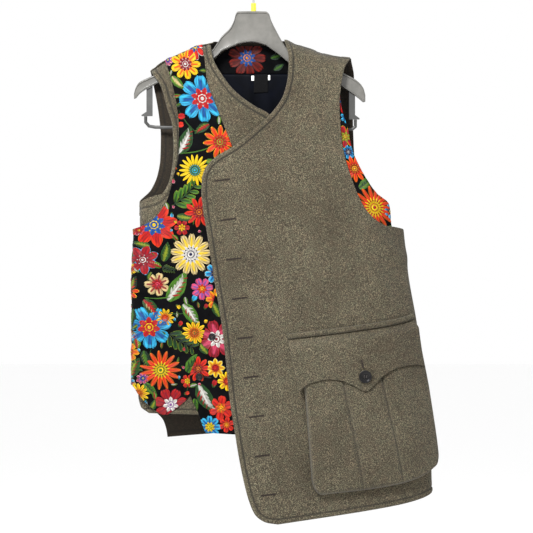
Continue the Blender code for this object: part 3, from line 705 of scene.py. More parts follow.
def turned_edge(gap):
    """The relief of an edge turned in and topstitched: a soft roll, the stitches' groove, and the
    cloth puffed up a little beyond it."""
    half = BAND_WIDTH / 2
    roll = BAND_RISE * np.clip(1 - ((gap - half) / (half + BAND_OVER)) ** 2, 0.0, 1.0)
    puff = PUFF_RISE * ease((gap - BAND_WIDTH) / 2) * ease((BAND_WIDTH + PUFF_WIDTH - gap) / PUFF_FADE)
    return roll + puff - STITCH_GROOVE * np.exp(-((gap - BAND_WIDTH - GROOVE_OFF) ** 2))


def grid_quads(down, across):
    """The corners of each quad of a grid whose points are numbered along its rows."""
    index = np.arange(down * across).reshape(down, across)
    corners = [index[:-1, :-1], index[:-1, 1:], index[1:, 1:], index[1:, :-1]]
    return np.stack(corners, axis=-1).reshape(-1, 4)


def set_uv(data, name, places):
    """Gives each corner of a face its vertex's place, in millimetres, as a UV map."""
    layer = data.uv_layers.new(name=name)
    corners = np.empty(len(data.loops), int)
    data.loops.foreach_get("vertex_index", corners)
    layer.data.foreach_set("uv", (places * MM)[corners].reshape(-1))


def two_faced(name, outer, inner, edge_gap, along):
    """A closed wall between two grids, with its place along the edge and off it as its UV map."""
    down, across = outer.shape[:2]
    count = down * across
    index = np.arange(count).reshape(down, across)
    front = grid_quads(down, across)
    rim = np.concatenate([index[0, :-1], index[:-1, -1], index[-1, :0:-1], index[:0:-1, 0]])
    after = np.roll(rim, -1)
    sides = np.stack([rim, rim + count, after + count, after], axis=-1)
    faces = np.concatenate([front, front[:, ::-1] + count, sides])
    points = np.concatenate([outer.reshape(-1, 3), inner.reshape(-1, 3)])
    wall = mesh_piece(name, points, faces.tolist())
    places = np.stack([along.reshape(-1), edge_gap.reshape(-1)], axis=-1)
    set_uv(wall.data, "edge", np.concatenate([places, places]))
    inside = np.zeros(len(faces), int)
    inside[len(front):2 * len(front)] = 1
    wall.data.materials.append(None)
    wall.data.materials.append(None)
    wall.data.polygons.foreach_set("material_index", inside)
    return face_outward(wall)


SIDES = {
    "left": lambda grid: grid[:, 0],
    "right": lambda grid: grid[:, -1],
    "foot": lambda grid: grid[-1],
    "top": lambda grid: grid[0],
}


def cloth_wall(name, turn, height, layer, folds, bands=(), lift=0.0, thickness=None, facing=None):
    """A cloth wall on the form, rounded at its rim. Bands names the sides that are turned and
    topstitched, each with the height down to which it is. A wall that faces the front or the back
    stops short of the seam's plane."""
    thickness = thickness or layer.thickness
    base, normal = laid(layer, turn, height, folds)
    lift = np.broadcast_to(np.asarray(lift, float), turn.shape)
    middle = base + normal * (lift + thickness / 2)[..., None]
    rim_gap = np.full(turn.shape, FAR)
    edge_gap = np.full(turn.shape, FAR)
    edge_along = np.zeros(turn.shape)
    for pick in SIDES.values():
        gap, _ = nearest(middle, close_points(pick(middle)))
        rim_gap = np.minimum(rim_gap, gap)
    for side, down_to in bands:
        line = SIDES[side](middle)
        line = close_points(line[line[:, 2] > down_to])
        gap, along = nearest(middle, line)
        edge_along = np.where(gap < edge_gap, along, edge_along)
        edge_gap = np.minimum(edge_gap, gap)
    share = np.sqrt(1 - (1 - np.minimum(rim_gap / RIM_ROUND, 1.0)) ** 2)
    half = thickness / 2 * np.maximum(share, 0.15)
    rise = turned_edge(edge_gap) * share if bands else 0.0
    outer = base + normal * (lift + thickness / 2 + half + rise)[..., None]
    inner = base + normal * (lift + thickness / 2 - half)[..., None]
    front_from = -QUARTER / 2 if goes_round(layer) else -math.inf
    for face in (outer, inner):
        if facing == FACING_FRONT:
            in_front = np.minimum(face[..., 1], -SEAM_GAP)
            face[..., 1] = np.where(turn > front_from, in_front, face[..., 1])
        elif facing == FACING_BACK:
            face[..., 1] = np.maximum(face[..., 1], SEAM_GAP)
    return two_faced(name, outer, inner, edge_gap, edge_along)


def edge_places(tree):
    """The two numbers that each cloth wall carries: how far along its edge, and how far off it."""
    uv = join(tree, "ShaderNodeUVMap", {"uv_map": "edge"})
    split = join(tree, "ShaderNodeSeparateXYZ", {}, {"Vector": uv.outputs["UV"]})
    return split.outputs["X"], split.outputs["Y"]


def math_node(tree, operation, first, second=None):
    """One step of arithmetic between sockets or numbers."""
    node = join(tree, "ShaderNodeMath", {"operation": operation})
    for i, value in enumerate((first, second)):
        if isinstance(value, (int, float)):
            node.inputs[i].default_value = value
        elif value is not None:
            tree.links.new(value, node.inputs[i])
    return node.outputs["Value"]


STITCH_HALF_WIDTH = 0.0005
STITCH_STEP = 0.0036
STITCH_SHARE = 0.72
GROOVE_WIDTH = 0.0026


def off_stitches(tree):
    """How far a place is from the line of topstitches, which runs a band's width from the edge."""
    _, gap = edge_places(tree)
    return math_node(tree, "ABSOLUTE", math_node(tree, "SUBTRACT", gap, BAND_WIDTH * MM))


def stitch_mask(tree):
    """1 on the dashes of the topstitches."""
    along, _ = edge_places(tree)
    line = math_node(tree, "LESS_THAN", off_stitches(tree), STITCH_HALF_WIDTH)
    step = math_node(tree, "FRACT", math_node(tree, "MULTIPLY", along, 1 / STITCH_STEP))
    return math_node(tree, "MULTIPLY", line, math_node(tree, "LESS_THAN", step, STITCH_SHARE))


def painted_groove_shade(tree):
    """The share of painted shade in the stitched groove: 1 in its middle, falling to 0 at its sides."""
    share = math_node(tree, "DIVIDE", off_stitches(tree), GROOVE_WIDTH)
    return math_node(tree, "MAXIMUM", math_node(tree, "SUBTRACT", 1.0, share), 0.0)


MIX_SHARE = 0
MIX_FIRST = 6
MIX_SECOND = 7


def mix_colours(tree, share, first, second, blend="MIX"):
    """One colour laid over another by a share."""
    node = join(tree, "ShaderNodeMix", {"data_type": "RGBA", "blend_type": blend})
    for key, value in ((MIX_SHARE, share), (MIX_FIRST, first), (MIX_SECOND, second)):
        if isinstance(value, (int, float, tuple)):
            node.inputs[key].default_value = value
        else:
            tree.links.new(value, node.inputs[key])
    return node.outputs[2]


Tint = namedtuple("Tint", "scale detail roughness low low_tint high high_tint")
FINE_SCALE = 1300
TWEED_TINTS = [
    Tint(FINE_SCALE, 3, 0.7, 0.32, (0.4, 0.4, 0.4, 1), 0.68, (1.5, 1.5, 1.5, 1)),
    Tint(9, 3, 0.55, 0.3, (0.74, 0.7, 0.65, 1), 0.7, (1.16, 1.16, 1.16, 1)),
    Tint(90, 4, 0.6, 0.35, (1.06, 0.985, 0.97, 1), 0.65, (0.96, 1.01, 0.99, 1)),
]


def tweed_material(name, dark, middle, pale, painted_groove_colour):
    """Melange wool: dark and pale flecks a few millimetres long over a grey-brown ground, with
    grain, broad patches and dye lots laid over them, and painted shade in the stitched grooves
    of its turned edges."""
    sheen = {"Sheen Weight": 0.08, "Sheen Roughness": 0.6, "Specular IOR Level": 0.25}
    made, shader = plain_material(name, middle, 0.95, sheen)
    tree = made.node_tree
    flecks = noise(tree, 700, 4, 0.85)
    colour = ramp(tree, flecks, [(0.39, dark), (0.47, middle), (0.52, middle), (0.61, pale)])
    for tint in TWEED_TINTS:
        cloud = noise(tree, tint.scale, tint.detail, tint.roughness)
        tone = ramp(tree, cloud, [(tint.low, tint.low_tint), (tint.high, tint.high_tint)])
        colour = mix_colours(tree, 1.0, colour, tone, "MULTIPLY")
    # Painted shade: the stitched groove is darkened toward the last colour
    painted_shade_share = math_node(tree, "MULTIPLY", painted_groove_shade(tree), 0.8)
    colour = mix_colours(tree, painted_shade_share, colour, painted_groove_colour)
    colour = mix_colours(tree, math_node(tree, "MULTIPLY", stitch_mask(tree), 0.35), colour, middle)
    tree.links.new(colour, shader.inputs["Base Color"])
    weave = bump(tree, shader, noise(tree, FINE_SCALE, 3, 0.7), 0.0007, 0.8)
    pile = bump(tree, shader, flecks, 0.0012, 0.7, over=weave)
    bump(tree, shader, stitch_mask(tree), 0.0004, 0.6, over=pile)
    return made


# The last colour of each tweed is the painted shade of its stitched grooves
tweed = tweed_material("tweed", srgb(17, 14, 9), srgb(56, 51, 38), srgb(130, 123, 102), srgb(16, 14, 10))
# A darker copy of the tweed for the back's inner faces: painted shade inside the garment
tweed_inside = tweed_material(
    "tweed_inside", srgb(17, 14, 10), srgb(34, 28, 19), srgb(58, 49, 36), srgb(11, 9, 7)
)


def panel(name, rows, layer, facing, across, pitch, folds=(), bands=(), top=None, lift=0.0, thickness=None):
    """A cut panel of the garment on its layer of the form."""
    turn, height = panel_grid(rows, layer, facing, across, pitch, top)
    return cloth_wall(name, turn, height, layer, folds, bands, lift, thickness, facing)


ALL_THE_WAY = -2000
long_front = panel(
    "tweed_long_front", LONG_FRONT, LONG_LAYER, FACING_FRONT, 88, 4.2, LONG_FOLDS,
    [("left", ALL_THE_WAY), ("foot", ALL_THE_WAY), ("top", ALL_THE_WAY)], ridge_height,
)
settle(long_front, "long_front", tweed)

# Buttonholes of the long front: nine worked slits in a line, each a cut painted dark as the
# shade in it, with a purled border of brown thread round it, tilted a little up to the right
Ground = namedtuple("Ground", "layer folds out side")
LONG_GROUND = Ground(LONG_LAYER, LONG_FOLDS, LONG_LAYER.thickness, 1)
FIRST_HOLE = (-54.9, -381.0)
HOLE_STEP = (10.15, -70.6)
HOLE_COUNT = 9
HOLE_LENGTH = 28
HOLE_TILT = math.radians(7)
PURL_RADIUS = 0.6
PURL_STEPS = 84
PURL_SWELL = 0.22
SLIT_HALF_WIDTH = 0.55
SLIT_RISE = 0.3
# Painted shade: the colour of the slit stands in for the shade inside the cut
SLIT_PAINTED_SHADE = (0.004, 0.003, 0.003, 1.0)
FORM_TURNS = np.linspace(-QUARTER - WRAP_TURN - 0.05, QUARTER, 500)


def turns_near(turn, height):
    """The angles at distances round the form from one angle, at one height."""
    runs = distances(body_point(FORM_TURNS, height))
    start = np.interp(turn, FORM_TURNS, runs)
    return lambda away: np.interp(start + away, runs, FORM_TURNS)


def on_ground(ground, x, z, across, up, rise):
    """Points a little way from a place on a cloth's face, measured round the form and up it."""
    turn = turns_near(front_turn(x, z), z)(np.asarray(across, float))
    base, normal = laid(ground.layer, turn, z + up, ground.folds)
    out = ground.out(z + up) if callable(ground.out) else ground.out
    return base + normal * (out + ground.side * np.asarray(rise, float))[..., None]


def patch_mesh(name, patches):
    """One mesh of many small grids, each with its colours and its threads' places."""
    points = np.concatenate([grid.reshape(-1, 3) for grid, _, _ in patches])
    threads = np.concatenate([thread.reshape(-1, 2) for _, _, thread in patches])
    faces = []
    colours = []
    start = 0
    for grid, colour, _ in patches:
        down, across = grid.shape[:2]
        faces.append(start + grid_quads(down, across))
        colours.append(np.broadcast_to(colour, (down, across, 4)).reshape(-1, 4))
        start += down * across
    piece = mesh_piece(name, points, np.concatenate(faces).tolist())
    layer = piece.data.color_attributes.new("thread", "FLOAT_COLOR", "POINT")
    layer.data.foreach_set("color", np.concatenate(colours).reshape(-1).astype(np.float32))
    set_uv(piece.data, "threads", threads)
    return piece


THREAD_PITCH = 0.0009


def thread_material(name, roughness, sheen):
    """Satin thread laid side by side, in the colours that each stitch carries, with painted shade
    between the threads.
    """
    gloss = {"Sheen Weight": sheen, "Specular IOR Level": 0.2}
    made, shader = plain_material(name, (1, 1, 1, 1), roughness, gloss)
    tree = made.node_tree
    colour = join(tree, "ShaderNodeVertexColor", {"layer_name": "thread"}).outputs["Color"]
    uv = join(tree, "ShaderNodeUVMap", {"uv_map": "threads"})
    place = join(tree, "ShaderNodeSeparateXYZ", {}, {"Vector": uv.outputs["UV"]})
    phase = math_node(tree, "MULTIPLY", place.outputs["X"], 2 * math.pi / THREAD_PITCH)
    wave = math_node(tree, "SINE", phase)
    height = math_node(tree, "ADD", math_node(tree, "MULTIPLY", wave, 0.5), 0.5)
    stretched = join(tree, "ShaderNodeMapping", {"Scale": (420, 50, 1)}, {"Vector": uv.outputs["UV"]})
    strands = join(
        tree, "ShaderNodeTexNoise", {"Scale": 1.0, "Detail": 2.0}, {"Vector": stretched.outputs[0]}
    ).outputs["Fac"]
    streaks = ramp(tree, strands, [(0.36, (0.45, 0.43, 0.43, 1)), (0.64, (1.32, 1.32, 1.32, 1))])
    # Painted shade: the colour darkens in the gaps between threads
    thread_gap_shade = ramp(tree, height, [(0.0, (0.82, 0.82, 0.82, 1)), (0.5, (1, 1, 1, 1))])
    colour = mix_colours(tree, 1.0, mix_colours(tree, 1.0, colour, streaks, "MULTIPLY"), thread_gap_shade, "MULTIPLY")
    tree.links.new(colour, shader.inputs["Base Color"])
    bump(tree, shader, height, 0.0003, 0.8)
    return made


def purled_slit(ground, x, z, length, tilt, thread):
    """A worked buttonhole: a padded ring of thread round a slit painted dark as its shade."""
    half = length / 2
    cos = math.cos(tilt)
    sin = math.sin(tilt)

    def tilted(along, aside, rise):
        return on_ground(ground, x, z, along * cos - aside * sin, along * sin + aside * cos, rise)

    turn = np.linspace(0, 2 * np.pi, PURL_STEPS + 1)
    along = np.clip(np.cos(turn) * half * 1.6, -half + 1, half - 1) + np.cos(turn)
    off = np.sign(np.sin(turn)) * np.minimum(1, np.abs(np.sin(turn)) * 4)
    round_thread = np.linspace(0, 2 * np.pi, 7)
    swell = PURL_RADIUS * (1 + PURL_SWELL * (np.arange(PURL_STEPS + 1) % 2))[:, None]
    along = along[:, None] + 0 * round_thread
    aside = off[:, None] + np.sign(off)[:, None] * np.cos(round_thread) * swell * 0.9
    ring = tilted(along, aside, 0.35 + np.sin(round_thread) * swell * 0.8)
    slit = np.linspace(-half + 0.8, half - 0.8, 15)[:, None] + np.zeros((1, 3))
    side = np.array([-SLIT_HALF_WIDTH, 0.0, SLIT_HALF_WIDTH]) + 0 * slit
    cut = tilted(slit, side, SLIT_RISE + 0 * slit)
    return [
        (ring, thread, np.stack([along, aside], axis=-1)),
        (cut, SLIT_PAINTED_SHADE, np.stack([slit, side], axis=-1)),
    ]


buttonhole_thread = srgb(52, 43, 34)
purled = []
for hole in range(HOLE_COUNT):
    hole_x = FIRST_HOLE[0] + HOLE_STEP[0] * hole
    hole_z = FIRST_HOLE[1] + HOLE_STEP[1] * hole
    purled += purled_slit(LONG_GROUND, hole_x, hole_z, HOLE_LENGTH, HOLE_TILT, buttonhole_thread)
matt_thread = thread_material("matt_thread", 0.8, 0.1)
settle(patch_mesh("front_buttonholes", purled), None, matt_thread)

# Under front: the tweed layer beneath the velvet on the other side, seen at the armhole, at the
# neck with its turned and stitched edge, and below the velvet's point
UNDER_LAYER = Layer(0.0, 0.0, 0.0, 1.6)
UNDER_FRONT = [
    Row(-184, -184, -77, -138),
    Row(-168, -208, -73, -160),
    Row(-156, -249, -55, -193),
    Row(-146, -285, -31, -222),
    Row(-144, -326, 1, -246),
    Row(-149, -372, 30, -263),
    Row(-160, -399, 45, -290),
    Row(-178, -416, 46, -330),
    Row(-204, -424, 46, -375),
    Row(-204, -450, 46, -430),
    Row(-210, -520, 45, -520),
    Row(-210, -650, 43, -650),
    Row(-208, -760, 40, -770),
    Row(-203, -788, 38, -796),
    Row(-188, -800, 36, -804),
]
under_front = panel(
    "tweed_under_front", UNDER_FRONT, UNDER_LAYER, FACING_FRONT, 46, 5, (),
    [("left", -423), ("foot", ALL_THE_WAY), ("right", -430)], ridge_height,
)
settle(under_front, "under_front", tweed)

# Velvet fronts: black velvet, the right one wrapped round the side to the back, and the left one
# over it from under the long front. Both end in a turned edge without stitches
RIGHT_VELVET_LAYER = Layer(3.0, 2.4, 12.0, 1.6)
LEFT_VELVET_LAYER = Layer(-0.3, 4.4, -6.0, 1.6)
RIGHT_VELVET = [
    Row(-158, -162, -92, -136),
    Row(-151, -185, -88, -165),
    Row(-144, -214, -84, -200),
    Row(-138, -245, -70, -240),
    Row(-134, -285, -52, -285),
    Row(-134, -332, -38, -322),
    Row(-144, -376, -28, -362),
    Row(-152, -408, -23, -400),
    Row(-165, -436, -19, -435),
    Row(-182, -455, -16, -460),
    Row(-201, -467, -15, -480),
    Row(-223, -477, -14, -500),
    Row(-222, -510, -15, -532),
    Row(-219, -549, -17, -570),
    Row(-218, -610, -23, -622),
    Row(-219, -665, -34, -672),
    Row(-219, -705, -52, -708),
    Row(-218, -735, -72, -735),
    Row(-206, -750, -92, -753),
    Row(-199, -767, -112, -767),
    Row(-189, -781, -125, -780),
    Row(-178, -792, -140, -792),
    Row(-166, -801, -153, -802, -1),
]
LEFT_VELVET = [
    Row(78, -138, 160, -162),
    Row(84, -165, 157, -185),
    Row(82, -200, 155, -215),
    Row(70, -250, 158, -250),
    Row(50, -300, 169, -288),
    Row(20, -350, 177, -326),
    Row(-8, -395, 188, -352),
    Row(-25, -425, 201, -376),
    Row(-38, -455, 221, -404),
    Row(-46, -480, 245, -424),
    Row(-52, -510, 250, -462),
    Row(-60, -550, 272, -500),
    Row(-71, -596, 280, -560),
    Row(-91, -663, 290, -640),
    Row(-103, -702, 295, -690),
    Row(-114, -735, 298, -730),
    Row(-113, -765, 300, -760),
    Row(-100, -796, 300, -785),
    Row(-93, -816, 298, -800, -6),
    Row(-86, -834, 290, -812, -14),
]
RIGHT_VELVET_FOLDS = [
    Fold(-150, -480, -196, -560, 11, 3.2),
    Fold(-168, -640, -150, -740, 12, 2.4),
]
# Short black pile, paler where it turns away, with a faintly mottled nap
velvet = mottled(
    "velvet", srgb(2, 2, 3), srgb(8, 8, 10), 0.9, Mottle(45, 4, 0.35, 0.7), Grain(1400, 0.0005, 0.5),
    {"Sheen Weight": 0.03, "Sheen Roughness": 0.3, "Specular IOR Level": 0.06},
)
floral_right = panel(
    "velvet_front_right", RIGHT_VELVET, RIGHT_VELVET_LAYER, FACING_FRONT, 46, 4.5,
    RIGHT_VELVET_FOLDS, (), ridge_height,
)
settle(floral_right, "floral_front_right", velvet)
floral_left = panel(
    "velvet_front_left", LEFT_VELVET, LEFT_VELVET_LAYER, FACING_FRONT, 64, 5, (), (), ridge_height
)
settle(floral_left, "floral_front_left", velvet)

# Embroidery: flowers and leaves in satin stitch, in rayon thread, sewn through the velvet. Each
# petal is a low padded pillow of threads that run along it, shaded from its foot to its tip
THREADS = {
    "sky": srgb(34, 132, 168),
    "blue": srgb(4, 58, 118),
    "navy": srgb(8, 12, 54),
    "white": srgb(172, 170, 164),
    "cream": srgb(170, 152, 104),
    "yellow": srgb(188, 158, 4),
    "gold": srgb(172, 100, 2),
    "orange": srgb(180, 66, 1),
    "coral": srgb(170, 27, 4),
    "red": srgb(140, 5, 6),
    "crimson": srgb(108, 1, 20),
    # The two deepest reds paint the shade on the yoke's flower inside the neck
    "brick": srgb(92, 15, 5),
    "rust": srgb(58, 5, 5),
    "pink": srgb(165, 52, 78),
    "lilac": srgb(112, 62, 128),
    "green": srgb(18, 54, 13),
    "leaf": srgb(52, 92, 14),
    "lime": srgb(114, 126, 24),
    "pine": srgb(6, 30, 15),
}

# Petals: where the widest part is, how blunt the end, the dip and the lobes of its tip, and how
# much of its room a petal fills
PetalShape = namedtuple("PetalShape", "swell blunt notch lobes fullness")
PETAL_SHAPES = {
    "round": PetalShape(1.4, 0.5, 0.06, 0.0, 0.97),
    "scallop": PetalShape(1.6, 0.42, 0.1, 0.05, 1.02),
    "pointed": PetalShape(0.95, 0.8, 0.0, 0.0, 1.04),
    "daisy": PetalShape(1.2, 0.55, 0.0, 0.0, 0.84),
    "leaf": PetalShape(0.8, 0.9, 0.0, 0.0, 1.0),
}
PETAL_RELIEF = 1.0
PETAL_SINK = -0.35
RING_STEP = 0.35
SMALL_PETAL = 13
PETAL_ROWS = [0, 0.12, 0.3, 0.5, 0.68, 0.82, 0.91, 0.95, 1]
PETAL_COLUMNS = [-1, -0.87, -0.8, -0.45, -0.1, 0.1, 0.45, 0.8, 0.87, 1]
SMALL_PETAL_COLUMNS = [-1, -0.6, 0, 0.6, 1]
RIM_FROM = 0.83
TIP_FROM = 0.94
VEIN_WIDTH = 0.2
VEIN_TO = 0.7

# Flowers, with the colours of the petals' foot, tip and rim, the inner petals and the centre, and
# sprays, which grow from their foot
Bloom = namedtuple("Bloom", "x z width petals shape turn colours")
Spray = namedtuple("Spray", "kind x z length turn bend colours")
RIGHT_BLOOMS = [
    Bloom(-104, -142, 48, 8, "round", 10, "coral red white blue yellow"),
    Bloom(-122, -172, 56, 9, "round", 0, "orange yellow yellow crimson white"),
    Bloom(-92, -234, 88, 8, "scallop", 4, "blue sky sky red white"),
    Bloom(-60, -312, 62, 11, "daisy", 20, "coral orange yellow red lime"),
    Bloom(-105, -363, 58, 18, "daisy", 0, "yellow yellow yellow leaf sky"),
    Bloom(-97, -438, 56, 10, "daisy", 8, "red coral orange crimson gold"),
    Bloom(-176, -461, 84, 8, "pointed", 12, "red coral orange blue yellow"),
    Bloom(-128, -466, 30, 6, "round", 0, "crimson red red yellow coral"),
    Bloom(-112, -514, 78, 13, "scallop", 5, "yellow cream cream white navy"),
    Bloom(-193, -524, 56, 7, "pointed", 25, "crimson red sky crimson white"),
    Bloom(-171, -568, 44, 7, "scallop", 25, "crimson cream cream red pink"),
    Bloom(-92, -576, 42, 7, "scallop", 10, "lilac pink lilac coral yellow"),
    Bloom(-68, -548, 40, 7, "round", 30, "blue sky white navy yellow"),
    Bloom(-66, -595, 40, 8, "round", 0, "orange gold yellow red coral"),
    Bloom(-184, -645, 80, 7, "scallop", 15, "blue sky sky red yellow"),
    Bloom(-158, -628, 34, 11, "daisy", 0, "gold yellow yellow orange coral"),
    Bloom(-106, -655, 46, 12, "daisy", 6, "gold yellow yellow orange leaf"),
    Bloom(-165, -722, 72, 15, "daisy", 0, "coral orange gold yellow leaf"),
    Bloom(-200, -764, 36, 12, "daisy", 0, "gold yellow yellow gold red"),
    Bloom(-148, -784, 62, 7, "scallop", 12, "crimson red crimson white lilac"),
    Bloom(-118, -742, 26, 6, "round", 0, "coral red orange yellow gold"),
    Bloom(-215, -690, 34, 6, "round", 0, "orange gold yellow red yellow"),
    Bloom(-216, -580, 34, 8, "daisy", 0, "orange coral yellow green red"),
    Bloom(-52, -408, 44, 9, "daisy", 0, "red coral orange navy yellow"),
    Bloom(-60, -486, 44, 7, "scallop", 0, "sky white blue navy yellow"),
    Bloom(-52, -650, 44, 8, "pointed", 0, "coral orange yellow red navy"),
]
RIGHT_SPRAYS = [
    Spray("stem", -140, -332, 70, -4, 0.25, "leaf"),
    Spray("stem", -136, -250, 62, -70, 0.3, "green"),
    Spray("stem", -214, -478, 60, -58, 0.35, "green"),
    Spray("stem", -210, -585, 92, -22, 0.4, "leaf"),
    Spray("stem", -196, -600, 88, -40, 0.5, "green"),
    Spray("stem", -118, -400, 64, -60, -0.4, "leaf"),
    Spray("stem", -214, -742, 70, 42, 0.3, "green"),
    Spray("stem", -122, -770, 66, 80, -0.4, "green"),
    Spray("leaf", -147, -192, 34, -58, 0.2, "leaf lime cream"),
    Spray("bud", -146, -268, 24, 8, 0.0, "coral red red"),
    Spray("bud", -146, -284, 22, 12, 0.0, "red coral red"),
    Spray("leaf", -136, -334, 58, 50, 0.25, "green red white"),
    Spray("leaf", -86, -344, 30, -30, 0.2, "leaf lime lime"),
    Spray("fern", -148, -428, 66, 32, 0.2, "leaf green"),
    Spray("leaf", -138, -444, 34, -20, 0.2, "green leaf lime"),
    Spray("leaf", -162, -528, 38, 66, 0.2, "green leaf lime"),
    Spray("fern", -166, -536, 28, -20, 0.1, "green pine"),
    Spray("leaf", -156, -598, 66, 44, 0.2, "leaf red white"),
    Spray("leaf", -212, -582, 32, 60, 0.1, "pine red lime"),
    Spray("leaf", -194, -594, 46, -44, -0.2, "green cream red"),
    Spray("leaf", -128, -602, 52, -46, -0.2, "leaf red white"),
    Spray("bud", -112, -604, 20, 60, 0.0, "sky sky sky"),
    Spray("bud", -90, -616, 16, 60, 0.0, "crimson red crimson"),
    Spray("bud", -136, -648, 17, 60, 0.0, "coral red coral"),
    Spray("fern", -158, -652, 64, -40, 0.2, "green pine"),
    Spray("leaf", -216, -742, 46, 80, -0.2, "green red lime"),
    Spray("leaf", -120, -728, 54, 62, -0.3, "leaf lime green"),
    Spray("leaf", -192, -744, 32, -54, 0.1, "leaf lime green"),
    Spray("leaf", -182, -500, 30, 160, 0.1, "green leaf lime"),
    Spray("leaf", -86, -388, 34, -16, 0.2, "green lime red"),
    Spray("leaf", -78, -280, 34, 200, 0.2, "green lime red"),
    Spray("leaf", -208, -618, 30, 130, 0.2, "leaf lime red"),
    Spray("bud", -134, -688, 18, 20, 0.0, "pink red green"),
]
LEFT_BLOOMS = [
    Bloom(-66, -666, 70, 7, "scallop", 0, "pink crimson red white crimson"),
    Bloom(-99, -720, 46, 9, "daisy", 8, "red coral orange crimson gold"),
    Bloom(-68, -718, 36, 8, "pointed", 0, "gold yellow white red coral"),
    Bloom(-47, -742, 36, 8, "round", 0, "gold yellow yellow red orange"),
    Bloom(-58, -790, 46, 6, "round", 20, "red coral coral orange yellow"),
    Bloom(-78, -824, 42, 8, "scallop", 0, "blue sky sky yellow lime"),
    Bloom(-48, -820, 30, 6, "round", 20, "red coral coral orange yellow"),
    Bloom(163, -240, 44, 7, "round", 0, "crimson red coral blue yellow"),
    Bloom(167, -268, 24, 7, "round", 0, "blue sky sky navy white"),
    Bloom(165, -303, 42, 7, "round", 0, "crimson red yellow lime gold"),
    Bloom(170, -330, 28, 7, "round", 0, "blue sky blue navy white"),
    Bloom(181, -360, 50, 11, "daisy", 10, "coral orange gold red yellow"),
    Bloom(217, -430, 82, 18, "daisy", 0, "coral orange gold yellow red"),
    Bloom(248, -436, 30, 7, "round", 0, "blue sky white navy yellow"),
]
LEFT_SPRAYS = [
    Spray("leaf", -98, -744, 64, -78, 0.3, "green red white"),
    Spray("leaf", -104, -772, 30, -100, 0.1, "leaf lime green"),
    Spray("bud", -74, -758, 20, 70, 0.0, "crimson red crimson"),
    Spray("leaf", -82, -694, 34, 120, 0.2, "green leaf lime"),
    Spray("leaf", 188, -396, 36, 30, 0.2, "leaf lime green"),
    Spray("leaf", 156, -330, 28, 80, 0.2, "green leaf lime"),
]
# The yoke's flower is sewn in the deepest reds as painted shade, where it lies inside the neck
YOKE_BLOOMS = [Bloom(-12, -158, 72, 9, "scallop", 0, "rust brick rust blue gold")]
YOKE_SPRAYS = [
    Spray("leaf", 30, -158, 26, 10, 0.1, "pine green leaf"),
    Spray("leaf", 36, -180, 24, 24, 0.1, "pine green leaf"),
]


def petal_places(length):
    """Where a petal's mesh points lie along and across it: fewer on a small one."""
    if length < SMALL_PETAL:
        return np.linspace(0, 1, 5)[:, None], np.array(SMALL_PETAL_COLUMNS)[None, :]
    return np.array(PETAL_ROWS)[:, None], np.array(PETAL_COLUMNS)[None, :]


def pillow_height(rise, share):
    """The height of padded stitches that sink into the cloth at their edge."""
    return PETAL_SINK + (rise + PETAL_RELIEF - PETAL_SINK) * share


def petal(turn, start, end, width, shape, colours, rise, bend=0.0):
    """One petal in its motif's plane, as x, up, rise, colours and thread places. The four colours
    are those of its foot, tip, rim and vein; a single one stands for all."""
    form = PETAL_SHAPES[shape]
    t, w = petal_places(end - start)
    profile = np.sin(np.pi * np.clip(t, 0.03, 0.985) ** form.swell) ** form.blunt
    reach = start + (end - start) * t * (1 - form.notch * (1 - np.abs(w)) * t ** 3)
    reach = reach * (1 + form.lobes * np.cos(3 * np.pi * w) * t ** 3)
    side = w * width / 2 * profile
    heading = turn + bend * t
    x = reach * np.cos(heading) - side * np.sin(heading)
    up = reach * np.sin(heading) + side * np.cos(heading)
    pillow = np.sqrt(1 - np.abs(w) ** 2.5) * np.sin(np.pi * np.clip(t, 0.0, 1.0)) ** 0.35
    words = colours.split() if " " in colours else [colours] * 4
    foot, tip, rim, vein = (np.array(THREADS[word]) for word in words)
    blend = ease((t - 0.1) / 0.5)[..., None] + 0 * w[..., None]
    shade = foot * (1 - blend) + tip * blend
    shade = np.where(((np.abs(w) > RIM_FROM) | (t > TIP_FROM))[..., None], rim, shade)
    shade = np.where(((np.abs(w) < VEIN_WIDTH) & (t < VEIN_TO))[..., None], vein, shade)
    return x, up, pillow_height(rise, pillow), shade, np.stack([side, reach + 0 * w], axis=-1)


def disc(radius, rise, inner, outer, x=0.0, up=0.0, around=14):
    """A domed round spot. A large one has rings of two colours."""
    ringed = around > 8
    turn = np.linspace(0, 2 * np.pi, around + 1)[:, None]
    ring = np.array([0.02, 0.3, 0.36, 0.64, 0.7, 1.0] if ringed else [0.02, 0.6, 1.0])[None, :]
    height = pillow_height(rise, np.sqrt(1 - ring ** 4)) + 0 * turn
    in_inner = (ring < 0.33) | (ring > 0.67) if ringed else ring < 2
    shade = np.where(in_inner[..., None], np.array(THREADS[inner]), np.array(THREADS[outer]))
    shade = shade + 0 * turn[..., None]
    out = radius * ring
    places = np.stack([out + 0 * turn, turn * radius + 0 * ring], axis=-1)
    return x + out * np.cos(turn), up + out * np.sin(turn), height, shade, places


# The parts of a flower as shares of its radius, and of a leaf or fern as shares of its length
PETAL_FOOT = 0.2
PETAL_WIDEST = 0.66
INNER_FOOT = 0.12
INNER_TIP = 0.48
INNER_WIDTH = 0.5
CENTRE = 0.22
DOTS_OUT = 0.3
DOT = 0.05
LEAF_WIDTH = 0.48
STEM_WIDTH = 2.6
Barbs = namedtuple("Barbs", "start step size shrink")
LEAF_BARBS = Barbs(0.2, 0.14, 0.26, 0.025)
FERN_BARBS = Barbs(0.14, 0.17, 0.38, 0.03)
BARB_COUNT = 5


